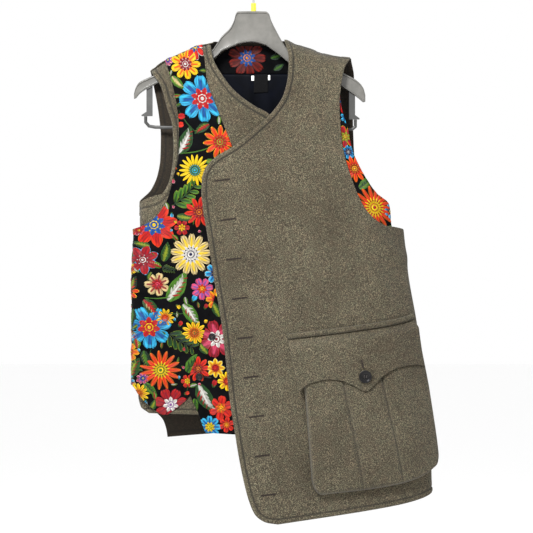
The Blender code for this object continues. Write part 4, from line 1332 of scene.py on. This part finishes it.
def bloom_petals(bloom):
    """A flower: outer petals, a ring of shorter ones between them, and a centre with dots round it."""
    outer, tip, rim, inner, centre = bloom.colours.split()
    radius = bloom.width / 2
    headings = [math.radians(bloom.turn) + 2 * math.pi * k / bloom.petals for k in range(bloom.petals)]
    between = math.pi / bloom.petals
    width = PETAL_SHAPES[bloom.shape].fullness * 2 * math.pi * radius * PETAL_WIDEST / bloom.petals
    foot = radius * PETAL_FOOT
    colours = f"{outer} {tip} {rim} {outer}"
    made = [petal(heading, foot, radius, width, bloom.shape, colours, 0.0) for heading in headings]
    foot = radius * INNER_FOOT
    tip = radius * INNER_TIP
    width *= INNER_WIDTH
    made += [petal(heading + between, foot, tip, width, "pointed", inner, RING_STEP) for heading in headings]
    made.append(disc(radius * CENTRE, 2 * RING_STEP, centre, inner))
    if bloom.width > 2 * SMALL_PETAL:
        for heading in headings:
            x = radius * DOTS_OUT * math.cos(heading)
            up = radius * DOTS_OUT * math.sin(heading)
            made.append(disc(radius * DOT, 2 * RING_STEP, centre, centre, x, up, 6))
    return made


def moved(petals, turn, along):
    """Petals moved along a direction in their plane."""
    dx = along * math.cos(turn)
    up = along * math.sin(turn)
    return [(piece[0] + dx, piece[1] + up, *piece[2:]) for piece in petals]


def barb_places(spray, barbs):
    """Where a leaf's or fern's barbs stand: how far along it, their heading and their size."""
    for step in range(BARB_COUNT):
        along = barbs.start + barbs.step * step
        heading = math.radians(spray.turn) + spray.bend * along
        yield spray.length * along, heading, spray.length * (barbs.size - barbs.shrink * step)


def spray_petals(spray):
    """A stem, leaf, fern or bud that grows from its foot in one direction."""
    length = spray.length
    turn = math.radians(spray.turn)
    bend = spray.bend
    words = spray.colours.split()
    first, last = words[0], words[-1]
    if spray.kind == "stem":
        return [petal(turn, 0, length, STEM_WIDTH, "daisy", first, -RING_STEP, bend)]
    if spray.kind == "leaf":
        body, half, barb = words
        colours = f"{body} {body} {body} {barb}"
        made = [petal(turn, 0, length, length * LEAF_WIDTH, "leaf", colours, 0.0, bend)]
        for along, heading, size in barb_places(spray, LEAF_BARBS):
            for side, colour in ((-1, half), (1, barb)):
                vein = petal(heading + side * 0.7, 0, size, size * 0.26, "leaf", colour, RING_STEP)
                made += moved([vein], heading, along)
        return made
    if spray.kind == "fern":
        made = [petal(turn, 0, length, 2.4, "daisy", last, 0.0, bend)]
        colours = f"{last} {first} lime {last}"
        for along, heading, size in barb_places(spray, FERN_BARBS):
            for side in (-1, 1):
                frond = petal(heading + side * 0.8, 0, size, size * 0.42, "round", colours, 0.0)
                made += moved([frond], heading, along)
        return made
    tip = words[1]
    body = petal(turn, 0, length * 0.7, length * 0.5, "round", f"{first} {tip} {last} {tip}", 0.0)
    made = moved([body], turn, length * 0.3)
    for side in (-1, 1):
        colours = "green leaf green green"
        sepal = petal(turn + side * 0.5, 0, length * 0.4, length * 0.14, "leaf", colours, RING_STEP)
        made += moved([sepal], turn, length * 0.22)
    return made


def within(points, outline):
    """Whether each point lies inside a closed outline."""
    inside = np.zeros(len(points), bool)
    before = np.roll(outline, 1, axis=0)
    for (x1, y1), (x2, y2) in zip(before, outline):
        if y1 == y2:
            continue
        crosses = (points[:, 1] < y1) != (points[:, 1] < y2)
        at = x1 + (points[:, 1] - y1) * (x2 - x1) / (y2 - y1)
        inside ^= crosses & (points[:, 0] < at)
    return inside


TURN_SCALE = 200
LEAST_INSIDE = 0.1
OUTLINE_COLUMNS = 30
OUTLINE_PITCH = 6


def panel_outline(rows, layer, facing, top):
    """A panel's outline as angle and height, with the angle scaled to be like a distance."""
    turn, height = panel_grid(rows, layer, facing, OUTLINE_COLUMNS, OUTLINE_PITCH, top)
    grid = np.stack([turn * TURN_SCALE, height], axis=-1)
    return np.concatenate([grid[0], grid[1:, -1], grid[-1, -2::-1], grid[-2:0:-1, 0]])


def sewn(name, ground, outline, motifs, facing):
    """All the motifs of one panel as one mesh on its cloth. What would pass the panel's edge stops
    at it. A motif is its angle round the form, its height and its petals."""
    turns = []
    heights = []
    petals = []
    for motif_turn, z, pieces in motifs:
        turn_at = turns_near(motif_turn, z)
        for piece in pieces:
            turn = turn_at(piece[0])
            turns.append(turn if facing == FACING_FRONT else -np.pi - turn)
            heights.append(z + piece[1])
            petals.append(piece)
    lines = [np.concatenate([value.ravel() for value in line]) for line in (turns, heights)]
    places = np.stack(lines, axis=-1)
    places[:, 0] *= TURN_SCALE
    inside = within(places, outline)
    edge = close_points(np.concatenate([outline, outline[:1]]))
    tree = point_tree([(*place, 0.0) for place in edge])
    for i in np.flatnonzero(~inside):
        places[i] = tree.find((*places[i], 0.0))[0][:2]
    rise = np.concatenate([piece[2].ravel() for piece in petals])
    base, normal = laid(ground.layer, places[:, 0] / TURN_SCALE, places[:, 1], ground.folds)
    points = base + normal * (ground.out + ground.side * rise)[:, None]
    patches = []
    start = 0
    for _, _, height, shade, threads in petals:
        end = start + height.size
        if inside[start:end].mean() > LEAST_INSIDE:
            patches.append((points[start:end].reshape(*height.shape, 3), shade, threads))
        start = end
    return patch_mesh(name, patches)


FILLER_SIZES = [30, 22, 15, 11]
FILLER_COLOURS = [
    "blue sky white red yellow",
    "orange yellow gold red yellow",
    "red coral orange gold navy",
    "crimson pink white red yellow",
    "gold yellow yellow coral leaf",
    "lilac pink white blue yellow",
]
FILLER_LEAVES = ["green leaf lime", "leaf red white", "pine lime leaf", "leaf cream red"]
SPOT_STEP = 0.5
TURN_WANDER = 0.02
HEIGHT_WANDER = 5
MAIN_TAKES = 0.44
FILLER_TAKES = 0.52
FILLER_NEEDS = 0.47
LEAST_FLOWER = 20
FLOWER_CHANCE = 0.55
LEAF_CHANCE = 0.7
Filling = namedtuple("Filling", "seed first_turn last_turn")


def filler_motifs(outline, main, filling):
    """Small flowers, leaves and buds for the ground between the main motifs and round the side."""
    chance = random.Random(filling.seed)
    taken = []
    for turn, z, pieces in main:
        for x, up, *_ in pieces:
            middle = (turn * TURN_SCALE + float(x.mean()), z + float(up.mean()))
            taken.append((*middle, MAIN_TAKES * float(max(np.ptp(x), np.ptp(up)))))
    taken = np.array(taken)
    found = []
    for size in FILLER_SIZES:
        spots = [
            (
                (turn + chance.uniform(-TURN_WANDER, TURN_WANDER)) * TURN_SCALE,
                z + chance.uniform(-HEIGHT_WANDER, HEIGHT_WANDER),
            )
            for z in np.arange(outline[:, 1].min() + 6, outline[:, 1].max(), size * SPOT_STEP)
            for turn in np.arange(filling.first_turn, filling.last_turn, size * SPOT_STEP / TURN_SCALE)
        ]
        spots = np.array(spots)
        for spot in spots[within(spots, outline)]:
            gap = np.hypot(taken[:, 0] - spot[0], taken[:, 1] - spot[1]) - taken[:, 2]
            if gap.min() < size * FILLER_NEEDS:
                continue
            taken = np.vstack([taken, (*spot, size * FILLER_TAKES)])
            turn = chance.uniform(0, 360)
            k = len(found)
            colours = FILLER_COLOURS[k % len(FILLER_COLOURS)]
            if size > LEAST_FLOWER and chance.random() < FLOWER_CHANCE:
                pieces = bloom_petals(Bloom(0, 0, size, 6 + k % 3, "round", turn, colours))
            elif chance.random() < LEAF_CHANCE:
                greens = FILLER_LEAVES[k % len(FILLER_LEAVES)]
                leaf = spray_petals(Spray("leaf", 0, 0, size * 1.15, turn, 0.2, greens))
                pieces = moved(leaf, math.radians(turn), -size * 0.55)
            else:
                colours = " ".join(colours.split()[:3])
                bud = spray_petals(Spray("bud", 0, 0, size, turn, 0.0, colours))
                pieces = moved(bud, math.radians(turn), -size * 0.5)
            found.append((spot[0] / TURN_SCALE, spot[1], pieces))
    return found


def main_motifs(sprays, blooms):
    """The named motifs, leaves first, so that flowers lie over them."""
    made = [(front_turn(spray.x, spray.z), spray.z, spray_petals(spray)) for spray in sprays]
    return made + [(front_turn(bloom.x, bloom.z), bloom.z, bloom_petals(bloom)) for bloom in blooms]


def embroider(name, rows, ground, blooms, sprays, fillings=(), facing=FACING_FRONT, top=ridge_height):
    """Sews a panel's flowers on it, with small ones in the ground between them."""
    outline = panel_outline(rows, ground.layer, facing, top)
    motifs = main_motifs(sprays, blooms)
    small = []
    for filling in fillings:
        small += filler_motifs(outline, motifs, filling)
    stitches = sewn(name, ground, outline, small + motifs, facing)
    return settle(stitches, None, satin_thread)


satin_thread = thread_material("satin_thread", 0.45, 0.0)
RIGHT_GROUND = Ground(RIGHT_VELVET_LAYER, RIGHT_VELVET_FOLDS, RIGHT_VELVET_LAYER.thickness, 1)
LEFT_GROUND = Ground(LEFT_VELVET_LAYER, (), LEFT_VELVET_LAYER.thickness, 1)
RIGHT_FILLINGS = [Filling(4, -1.74, -0.15)]
LEFT_FILLINGS = [Filling(9, -0.65, -0.3), Filling(5, 0.42, 1.52)]
embroider("embroidery_right", RIGHT_VELVET, RIGHT_GROUND, RIGHT_BLOOMS, RIGHT_SPRAYS, RIGHT_FILLINGS)
embroider("embroidery_left", LEFT_VELVET, LEFT_GROUND, LEFT_BLOOMS, LEFT_SPRAYS, LEFT_FILLINGS)

# Velvet buttonhole: the lower one of the left velvet front, worked in dark thread through the
# cloth and its stitches, beside the button that it is for
VELVET_HOLE = (-82.1, -734.5)
VELVET_HOLE_LENGTH = 14
VELVET_HOLE_TILT = math.radians(-9)
OVER_PETALS = LEFT_GROUND._replace(out=LEFT_VELVET_LAYER.thickness + PETAL_RELIEF)
velvet_hole = purled_slit(
    OVER_PETALS, *VELVET_HOLE, VELVET_HOLE_LENGTH, VELVET_HOLE_TILT, srgb(20, 17, 16)
)
settle(patch_mesh("velvet_buttonhole", velvet_hole), None, matt_thread)

# Back: one panel of the same tweed from the shoulders and the neck to its own shorter hem, joined
# to the fronts at the shoulders and sides, with topstitched armholes and hem
BACK_LAYER = Layer(3.0, 0.0, 0.0, 1.8)
TWEED_BACK = [
    Row(-184, -188, 176, -166),
    Row(-181, -208, 182, -193),
    Row(-176, -234, 182, -225),
    Row(-171, -266, 180, -262),
    Row(-168, -300, 181, -300),
    Row(-169, -340, 183, -338),
    Row(-174, -370, 196, -374),
    Row(-185, -396, 218, -407),
    Row(-206, -422, 243, -428),
    Row(-208, -444, 247, -460),
    Row(-210, -466, 272, -478),
    Row(-211, -560, 282, -560),
    Row(-211, -650, 296, -640),
    Row(-209, -725, 304, -705),
    Row(-203, -765, 308, -735),
    Row(-184, -793, 310, -752),
    Row(-164, -814, 312, -766, -2),
    Row(-158, -832, 313, -778, -4),
    Row(-156, -845, 314, -788, -6),
]
BACK_NECK = [Ridge(-80, -137), Ridge(-60, -134), Ridge(-10, -129), Ridge(36, -129.5), Ridge(56, -131)]
BACK_TOPS = SHOULDERS[1:5] + BACK_NECK + SHOULDERS[-4:-1]
BACK_FOLDS = [
    Fold(-110, -260, -150, -420, 14, 3.0),
    Fold(130, -250, 190, -420, 15, 3.4),
    Fold(-60, -330, -80, -700, 20, 3.6),
    Fold(40, -300, 60, -640, 22, 3.0),
    Fold(150, -480, 210, -740, 20, 4.0),
    Fold(-20, -240, 0, -520, 13, -1.6),
    Fold(-120, -520, -150, -760, 15, -1.8),
    Fold(100, -420, 130, -700, 17, 1.8),
    Fold(-170, -440, -110, -520, 14, 2.0),
    Fold(250, -500, 180, -580, 15, 2.2),
]
back_top = table_curve(BACK_TOPS, "x", "height")
tweed_back = panel(
    "tweed_back_panel", TWEED_BACK, BACK_LAYER, FACING_BACK, 84, 5.2, BACK_FOLDS,
    [("top", ALL_THE_WAY), ("left", -440), ("right", -455), ("foot", ALL_THE_WAY)], back_top,
)
# The back's inner faces take the darker tweed as painted shade
settle(tweed_back, "tweed_back", tweed, tweed_inside)

# Inside the neck: an embroidered velvet yoke at the top of the back, a navy satin lining below it,
# a white tape hanging loop, and a black woven label, left bare, sewn over the loop
YOKE_INSIDE = [
    Row(-42, -137, 40, -136),
    Row(-70, -165, 60, -165),
    Row(-68, -186, 66, -186),
]
BACK_LINING = [
    Row(-70, -186.6, 66, -186.6),
    Row(-62, -240, 68, -240),
    Row(-52, -300, 74, -300),
]
LABEL = [Row(1, -188, 26, -187), Row(0, -221, 26, -220)]
LOOP = [Row(-4, -190, 30, -189), Row(-4, -199, 30, -198)]
YOKE_TOP_DROP = 7
LINING = 1.2
LINING_LIFT = -1.4 - LINING
TAPE = 0.8
LOOP_LIFT = LINING_LIFT - 0.4 - TAPE
LABEL_LIFT = LOOP_LIFT - 0.4 - TAPE


def yoke_top(x):
    """The yoke's top edge, a little below the back's."""
    return back_top(x) - YOKE_TOP_DROP


yoke = panel(
    "velvet_yoke", YOKE_INSIDE, BACK_LAYER, FACING_BACK, 26, 4, (), (), yoke_top, LINING_LIFT, LINING
)
settle(yoke, "yoke_inside", velvet)
yoke_ground = Ground(BACK_LAYER, (), LINING_LIFT, -1)
embroider("embroidery_yoke", YOKE_INSIDE, yoke_ground, YOKE_BLOOMS, YOKE_SPRAYS, (), FACING_BACK, yoke_top)

lining_satin = mottled(
    "lining_satin", srgb(2, 3, 6), srgb(5, 7, 15), 0.5,
    Mottle(30, 3, 0.3, 0.7), Grain(1600, 0.0003, 0.4), {"Specular IOR Level": 0.04},
)
lining_folds = [Fold(-8, -190, -4, -300, 5, -1.2), Fold(24, -215, 34, -300, 7, -1.0)]
lining = panel(
    "satin_lining", BACK_LINING, BACK_LAYER, FACING_BACK, 24, 4,
    lining_folds, (), None, LINING_LIFT, LINING,
)
settle(lining, "back_lining", lining_satin)

TAPE_MOTTLE = Mottle(900, 2, 0.3, 0.7)
TAPE_GRAIN = Grain(1500, 0.0003, 0.6)
white_tape = mottled(
    "white_tape", srgb(214, 214, 206), srgb(240, 240, 235), 0.8,
    TAPE_MOTTLE, TAPE_GRAIN, {"Sheen Weight": 0.1},
)
loop = panel("tape_loop", LOOP, BACK_LAYER, FACING_BACK, 14, 2, (), (), None, LOOP_LIFT, TAPE)
settle(loop, "hang_loop", white_tape)

woven_label = mottled(
    "woven_label", srgb(5, 5, 6), srgb(13, 13, 14), 0.8,
    TAPE_MOTTLE, TAPE_GRAIN, {"Specular IOR Level": 0.08},
)
label = panel("bare_label", LABEL, BACK_LAYER, FACING_BACK, 12, 2, (), (), None, LABEL_LIFT, TAPE)
settle(label, "neck_label", woven_label)

# Patch pocket on the long front: a tweed bag with two pleats that stands well off the front, under
# a flap with a pointed, scooped edge, and a narrow piped strip above the flap
Corner = namedtuple("Corner", "x z")
BAG_TOP_LEFT = Corner(86, -684)
BAG_BOTTOM_LEFT = Corner(106, -946)
BAG_TOP_RIGHT_HEIGHT = -650
BAG_BOTTOM_RIGHT_HEIGHT = -898
BAG_TOP_TURN = 1.40
BAG_BOTTOM_TURN = 1.51
BAG_CORNER_FROM = 0.88
BAG_CORNER_CUT = 17
BAG_CORNER_TURN = 0.18
BAG_CORNER_LEFT = 0.2
BAG_CORNER_RIGHT = 0.4
BAG_BOTTOM_SAG = -6
BAG_CLEAR = 1.0
BAG_MOUTH_PROUD = 9
BAG_PROUD = 18
BAG_FILL_OVER = 0.45
BAG_WALL_RUN = 5
BAG_WIDTH = 200
BAG_TALL = 262
BAG_FOOT_RUN = 8
Pleat = namedtuple("Pleat", "top bottom")
PLEATS = [Pleat(0.21, 0.285), Pleat(0.465, 0.555)]
PLEAT_SOFT_WIDTH = 7
PLEAT_SOFT_DEPTH = 1.4
PLEAT_CUT_WIDTH = 1.5
PLEAT_CUT_DEPTH = 3.6
PLEAT_FADE = 0.06
BAG_FOLDS = LONG_FOLDS + [
    Fold(130, -760, 150, -880, 9, 0.9),
    Fold(205, -790, 215, -900, 10, 0.8),
    Fold(262, -760, 285, -850, 11, 1.1),
    Fold(236, -870, 300, -855, 8, 0.9),
]

# Where the bag's mesh points lie: close together at its pleats, sides and foot
THIRD = 1 / 3
NEAR_PLEAT = np.array([-12, -8, -5, -3.4, -2.4, -1.6, -0.9, -0.4, 0, 0.4, 0.9, 1.6, 2.4, 3.4, 5, 8, 12]) / 300
NEAR_SIDE = np.array([0, 0.25, 0.7, 1.3, 2.1, 3.1, 4.3, 5.6, 8]) / 130
NEAR_FOOT = np.array([0, 0.25, 0.7, 1.4, 2.4, 3.8, 5.4, 7, 9]) / BAG_TALL
BAG_COLUMNS = np.concatenate([
    NEAR_SIDE, np.linspace(0.085, 0.28, 8), THIRD + NEAR_PLEAT, np.linspace(0.39, 0.61, 8),
    2 * THIRD + NEAR_PLEAT, np.linspace(0.72, 0.915, 14), 1 - NEAR_SIDE[::-1],
])
BAG_ROWS = np.concatenate([np.linspace(0, 0.955, 56), 1 - NEAR_FOOT[::-1]])[:, None]


def bag_proud(down):
    """How far the pocket stands out, by its depth from the mouth."""
    return BAG_MOUTH_PROUD + (BAG_PROUD - BAG_MOUTH_PROUD) * ease(down / BAG_FILL_OVER)


def bag_relief(across, down, pleats):
    """How full the pocket is near its sides and foot, and how deep its pleats sink it."""
    near_side = np.minimum(across, 1 - across) * BAG_WIDTH / BAG_WALL_RUN
    near_foot = (1 - down) * BAG_TALL / BAG_FOOT_RUN
    swell = np.sqrt(1 - (1 - np.minimum(near_side, 1.0)) ** 2)
    swell = swell * np.sqrt(1 - (1 - np.minimum(near_foot, 1.0)) ** 2)
    dip = 0.0
    for pleat in pleats:
        off = (across - pleat) * BAG_WIDTH
        dip = dip + PLEAT_SOFT_DEPTH * np.exp(-((off / PLEAT_SOFT_WIDTH) ** 2))
        dip = dip + PLEAT_CUT_DEPTH * np.exp(-((off / PLEAT_CUT_WIDTH) ** 2))
    return swell, dip * ease((1 - down) / PLEAT_FADE)


def bag_face(inset, fall):
    """One face of the pocket's wall: up the left side, over the front and down the right side."""
    down = BAG_ROWS
    first, second = (pleat.top + (pleat.bottom - pleat.top) * down for pleat in PLEATS)
    across = np.array([
        np.interp(BAG_COLUMNS, [0, THIRD, 2 * THIRD, 1], [0, one[0], two[0], 1])
        for one, two in zip(first, second)
    ])
    swell, dip = bag_relief(across, down, (first, second))
    edge = inset / BAG_WIDTH
    foot = down * (1 - inset / BAG_TALL)
    s = edge + across * (1 - 2 * edge)
    below = np.clip((foot - BAG_CORNER_FROM) / (1 - BAG_CORNER_FROM), 0.0, 1.0)
    corner = 1 - np.sqrt(1 - below ** 2)
    left_cut = BAG_CORNER_CUT * corner * np.maximum(0.0, 1 - s / BAG_CORNER_LEFT) ** 2
    right_cut = BAG_CORNER_TURN * corner * np.maximum(0.0, 1 - (1 - s) / BAG_CORNER_RIGHT) ** 2
    left_x = BAG_TOP_LEFT.x + (BAG_BOTTOM_LEFT.x - BAG_TOP_LEFT.x) * foot + left_cut
    left_z = BAG_TOP_LEFT.z + (BAG_BOTTOM_LEFT.z - BAG_TOP_LEFT.z) * foot
    right_z = BAG_TOP_RIGHT_HEIGHT + (BAG_BOTTOM_RIGHT_HEIGHT - BAG_TOP_RIGHT_HEIGHT) * foot
    z = left_z + (right_z - left_z) * s + 4 * s * (1 - s) * BAG_BOTTOM_SAG * foot
    start = front_turn(left_x, left_z)
    end = BAG_TOP_TURN + (BAG_BOTTOM_TURN - BAG_TOP_TURN) * foot - right_cut
    turn = start + (end - start) * s
    out = BAG_CLEAR + (bag_proud(down) - fall - dip - BAG_CLEAR) * swell
    base, normal = laid(LONG_LAYER, turn, z, BAG_FOLDS)
    return base + normal * (LONG_LAYER.thickness + out)[..., None]


TWEED = LONG_LAYER.thickness
bag_outer = bag_face(0.0, 0.0)
bag_inner = bag_face(TWEED, TWEED)
far_from_edge = np.full(bag_outer.shape[:2], FAR)
bag = two_faced("tweed_pocket_bag", bag_outer, bag_inner, far_from_edge, 0 * far_from_edge)
settle(bag, "pocket_bag", tweed)

FLAP_LEFT = Corner(62, -668)
FLAP_LEFT_FOOT = Corner(81, -759)
FLAP_RIGHT = Corner(293, -632)
FLAP_RIGHT_FOOT = Corner(303, -715)
FlapEdge = namedtuple("FlapEdge", "along rise")
FLAP_EDGES = [
    FlapEdge(0.0, 0),
    FlapEdge(0.067, 11),
    FlapEdge(0.153, 14),
    FlapEdge(0.243, 9),
    FlapEdge(0.33, -5),
    FlapEdge(0.41, -18),
    FlapEdge(0.48, -7),
    FlapEdge(0.56, 5),
    FlapEdge(0.68, 12),
    FlapEdge(0.82, 10),
    FlapEdge(1.0, 0),
]
FLAP_CLEAR = 0.9
FLAP_OVER_BAG = 1.3
STRIP_SIDE_TURN = 1.36
WELT_LEFT = Corner(60, -656)
WELT_LEFT_FOOT = Corner(61, -666)
WELT_RIGHT = Corner(289, -620)
WELT_RIGHT_FOOT = Corner(290, -630)
WELT_CLEAR = 1.3
WELT_ROUND = 3.0
flap_rise = table_curve(FLAP_EDGES, "along", "rise")


def strip_turn(corner):
    """The angle of a strip's corner, kept short of the side seam."""
    return np.minimum(front_turn(corner.x, corner.z), STRIP_SIDE_TURN)


def strip_grid(left, right, left_foot, right_foot, across, down, rise=None):
    """Angles, heights and drops below the top edge of a strip between two upper and two lower corners."""
    s = across[None, :]
    v = down[:, None]
    top = left.z + (right.z - left.z) * s
    foot = left_foot.z + (right_foot.z - left_foot.z) * s + (rise(s) if rise else 0.0)
    top_turn = strip_turn(left) + (strip_turn(right) - strip_turn(left)) * s
    foot_turn = strip_turn(left_foot) + (strip_turn(right_foot) - strip_turn(left_foot)) * s
    height = top + (foot - top) * v
    return top_turn + (foot_turn - top_turn) * v, height, top - height


def flap_out(drop):
    """The flap leaves the front at its seam and lies over the bag, by the drop below its seam."""
    mouth = FLAP_LEFT.z - BAG_TOP_LEFT.z
    depth = (drop - mouth) / (BAG_TOP_LEFT.z - BAG_BOTTOM_LEFT.z)
    return FLAP_CLEAR + (bag_proud(depth) + FLAP_OVER_BAG) * ease(drop / mouth)


FLAP_EDGE_SHARES = np.array([0, 0.12, 0.4, 0.9, 1.6, 2.6]) / 100
flap_across = np.concatenate([FLAP_EDGE_SHARES, np.linspace(0.04, 0.96, 66), 1 - FLAP_EDGE_SHARES[::-1]])
flap_down = np.concatenate([FLAP_EDGE_SHARES, np.linspace(0.05, 0.95, 30), 1 - FLAP_EDGE_SHARES[::-1]])
flap_turn, flap_height, flap_drop = strip_grid(
    FLAP_LEFT, FLAP_RIGHT, FLAP_LEFT_FOOT, FLAP_RIGHT_FOOT, flap_across, flap_down, flap_rise
)
flap = cloth_wall(
    "tweed_pocket_flap", flap_turn, flap_height, LONG_LAYER, LONG_FOLDS, (), TWEED + flap_out(flap_drop)
)
settle(flap, "pocket_flap", tweed)
FLAP_HOLE = Corner(193.3, -710.5)
FLAP_HOLE_SEAM = -647.6
FLAP_HOLE_LENGTH = 16
FLAP_HOLE_TILT = math.radians(98)
flap_ground = Ground(LONG_LAYER, LONG_FOLDS, lambda z: 2 * TWEED + flap_out(FLAP_HOLE_SEAM - z), 1)
flap_hole = purled_slit(
    flap_ground, FLAP_HOLE.x, FLAP_HOLE.z, FLAP_HOLE_LENGTH, FLAP_HOLE_TILT, buttonhole_thread
)
settle(patch_mesh("flap_buttonhole", flap_hole), None, matt_thread)
welt_down = np.linspace(0, 1, 13)
welt_turn, welt_height, _ = strip_grid(
    WELT_LEFT, WELT_RIGHT, WELT_LEFT_FOOT, WELT_RIGHT_FOOT, flap_across, welt_down
)
welt_lift = TWEED + WELT_CLEAR + WELT_ROUND * np.sqrt(1 - (2 * welt_down[:, None] - 1) ** 2) + 0 * welt_turn
welt = cloth_wall("tweed_pocket_welt", welt_turn, welt_height, LONG_LAYER, LONG_FOLDS, (), welt_lift)
settle(welt, "pocket_welt", tweed)

# Buttons: black four-hole buttons with a raised rim and a dished middle, sewn on with dark thread.
# The large one closes the pocket's flap, and two small ones are on the left velvet front
BUTTON_STANDOFF = 0.4
BUTTON_THICKNESS = 0.17
POCKET_BUTTON = Corner(198, -733)
POCKET_BUTTON_DROP = 88
POCKET_BUTTON_WIDTH = 22.7
VELVET_BUTTON_WIDTH = 13
VELVET_BUTTONS = {"floral_button_upper": Corner(-74, -662), "floral_button_lower": Corner(-97, -734)}

# The face's steps inward and down from its rim, as shares of the button's width and thickness
INSETS = [(0.10, 0.0), (0.05, 0.42), (0.12, 0.06)]
BACK_INSET = 0.09
BACK_SINK = -0.01
EDGE_CUT = 0.16
HOLE_RADIUS = 0.05
THREAD_RADIUS = 0.032
SHANK_RADIUS = 0.11
SHANK_TOP = 0.3
THREAD_LOW = 0.42
THREAD_ARCH = 0.28
THREAD_STEPS = 8
SHARP_FROM = math.radians(35)
HOLE_PLACE = 0.095
button_black = mottled(
    "button_black", srgb(8, 8, 9), srgb(22, 20, 21), 0.3,
    Mottle(300, 4, 0.35, 0.7), Grain(700, 0.00005, 0.3), {"Specular IOR Level": 0.25},
)


def select_faces(piece, wanted):
    """Selects a mesh's faces by a test on their middle and normal."""
    bpy.ops.object.mode_set(mode="OBJECT")
    for edge in piece.data.edges:
        edge.select = False
    for vertex in piece.data.vertices:
        vertex.select = False
    for face in piece.data.polygons:
        face.select = wanted(face)
    bpy.ops.object.mode_set(mode="EDIT")
    bpy.ops.mesh.select_mode(type="FACE")


def sewn_button(name, width):
    """A button at the origin with its back on the ground plane, its face up."""
    size = width * MM
    thick = size * BUTTON_THICKNESS
    bpy.ops.object.select_all(action="DESELECT")
    bpy.ops.mesh.primitive_cylinder_add(vertices=48, radius=size / 2, depth=thick, location=(0, 0, thick / 2))
    piece = bpy.context.object
    piece.name = name
    bpy.ops.object.transform_apply(location=True, rotation=True, scale=True)
    select_faces(piece, lambda face: face.normal.z > 0.9)
    for inset, sink in INSETS:
        bpy.ops.mesh.inset(thickness=size * inset)
        bpy.ops.transform.translate(value=(0, 0, -thick * sink))
    select_faces(piece, lambda face: face.normal.z < -0.9)
    bpy.ops.mesh.inset(thickness=size * BACK_INSET)
    bpy.ops.transform.translate(value=(0, 0, thick * BACK_SINK))
    bpy.ops.object.mode_set(mode="OBJECT")
    apply_modifier(piece, "BEVEL", width=thick * EDGE_CUT, segments=3, limit_method="ANGLE", angle_limit=0.6)
    out = size * HOLE_PLACE
    for place in ((-out, -out), (-out, out), (out, -out), (out, out)):
        bpy.ops.mesh.primitive_cylinder_add(
            vertices=16, radius=size * HOLE_RADIUS, depth=thick * 3, location=(*place, thick / 2)
        )
        drill = bpy.context.object
        apply_modifier(piece, "BOOLEAN", operation="DIFFERENCE", object=drill, solver="EXACT")
        bpy.data.objects.remove(drill, do_unlink=True)
    piece.data.shade_smooth()
    piece.data.set_sharp_from_angle(angle=SHARP_FROM)
    return piece


def button_threads(name, width):
    """Two bars of thread across the holes, and the shank of thread beneath."""
    bars = []
    thick = width * BUTTON_THICKNESS
    for side in (-1, 1):
        points = []
        for step in range(THREAD_STEPS + 1):
            along = -HOLE_PLACE + 2 * HOLE_PLACE * step / THREAD_STEPS
            lift = math.sin(math.pi * step / THREAD_STEPS) ** 0.6
            height = thick * (THREAD_LOW + THREAD_ARCH * lift)
            points.append((along * width, side * HOLE_PLACE * width, height))
        bars.append(round_bar(name, points, width * THREAD_RADIUS))
    shank = [(0, 0, -0.5 - BUTTON_STANDOFF), (0, 0, thick * SHANK_TOP)]
    bars.append(round_bar(name, shank, width * SHANK_RADIUS))
    select_only(bars[0])
    for bar in bars:
        bar.select_set(True)
    bpy.ops.object.join()
    return bpy.context.object


def sewn_in_place(node_name, width, seat, axis):
    """A button and its threads, moved to their seat with the face along the axis."""
    axis = Vector(axis)
    place = Matrix.Translation(Vector(seat) * MM) @ axis.to_track_quat("Z", "X").to_matrix().to_4x4()
    face = sewn_button(node_name + "_face", width)
    face.data.transform(place)
    settle(face, node_name, button_black)
    threads = button_threads(node_name + "_thread", width)
    threads.data.transform(place)
    settle(threads, None, button_thread)


button_thread, _ = plain_material("button_thread", srgb(40, 34, 30), 0.7, {"Sheen Weight": 0.1})
turn = front_turn(POCKET_BUTTON.x, POCKET_BUTTON.z)
base, normal = laid(LONG_LAYER, turn, POCKET_BUTTON.z, LONG_FOLDS)
reach = 2 * TWEED + flap_out(POCKET_BUTTON_DROP) + BUTTON_STANDOFF
sewn_in_place("pocket_button", POCKET_BUTTON_WIDTH, base + normal * reach, normal)
for node_name, place in VELVET_BUTTONS.items():
    turn = front_turn(place.x, place.z)
    base, normal = laid(LEFT_VELVET_LAYER, turn, place.z, ())
    reach = LEFT_VELVET_LAYER.thickness + BUTTON_STANDOFF
    sewn_in_place(node_name, VELVET_BUTTON_WIDTH, base + normal * reach, normal)
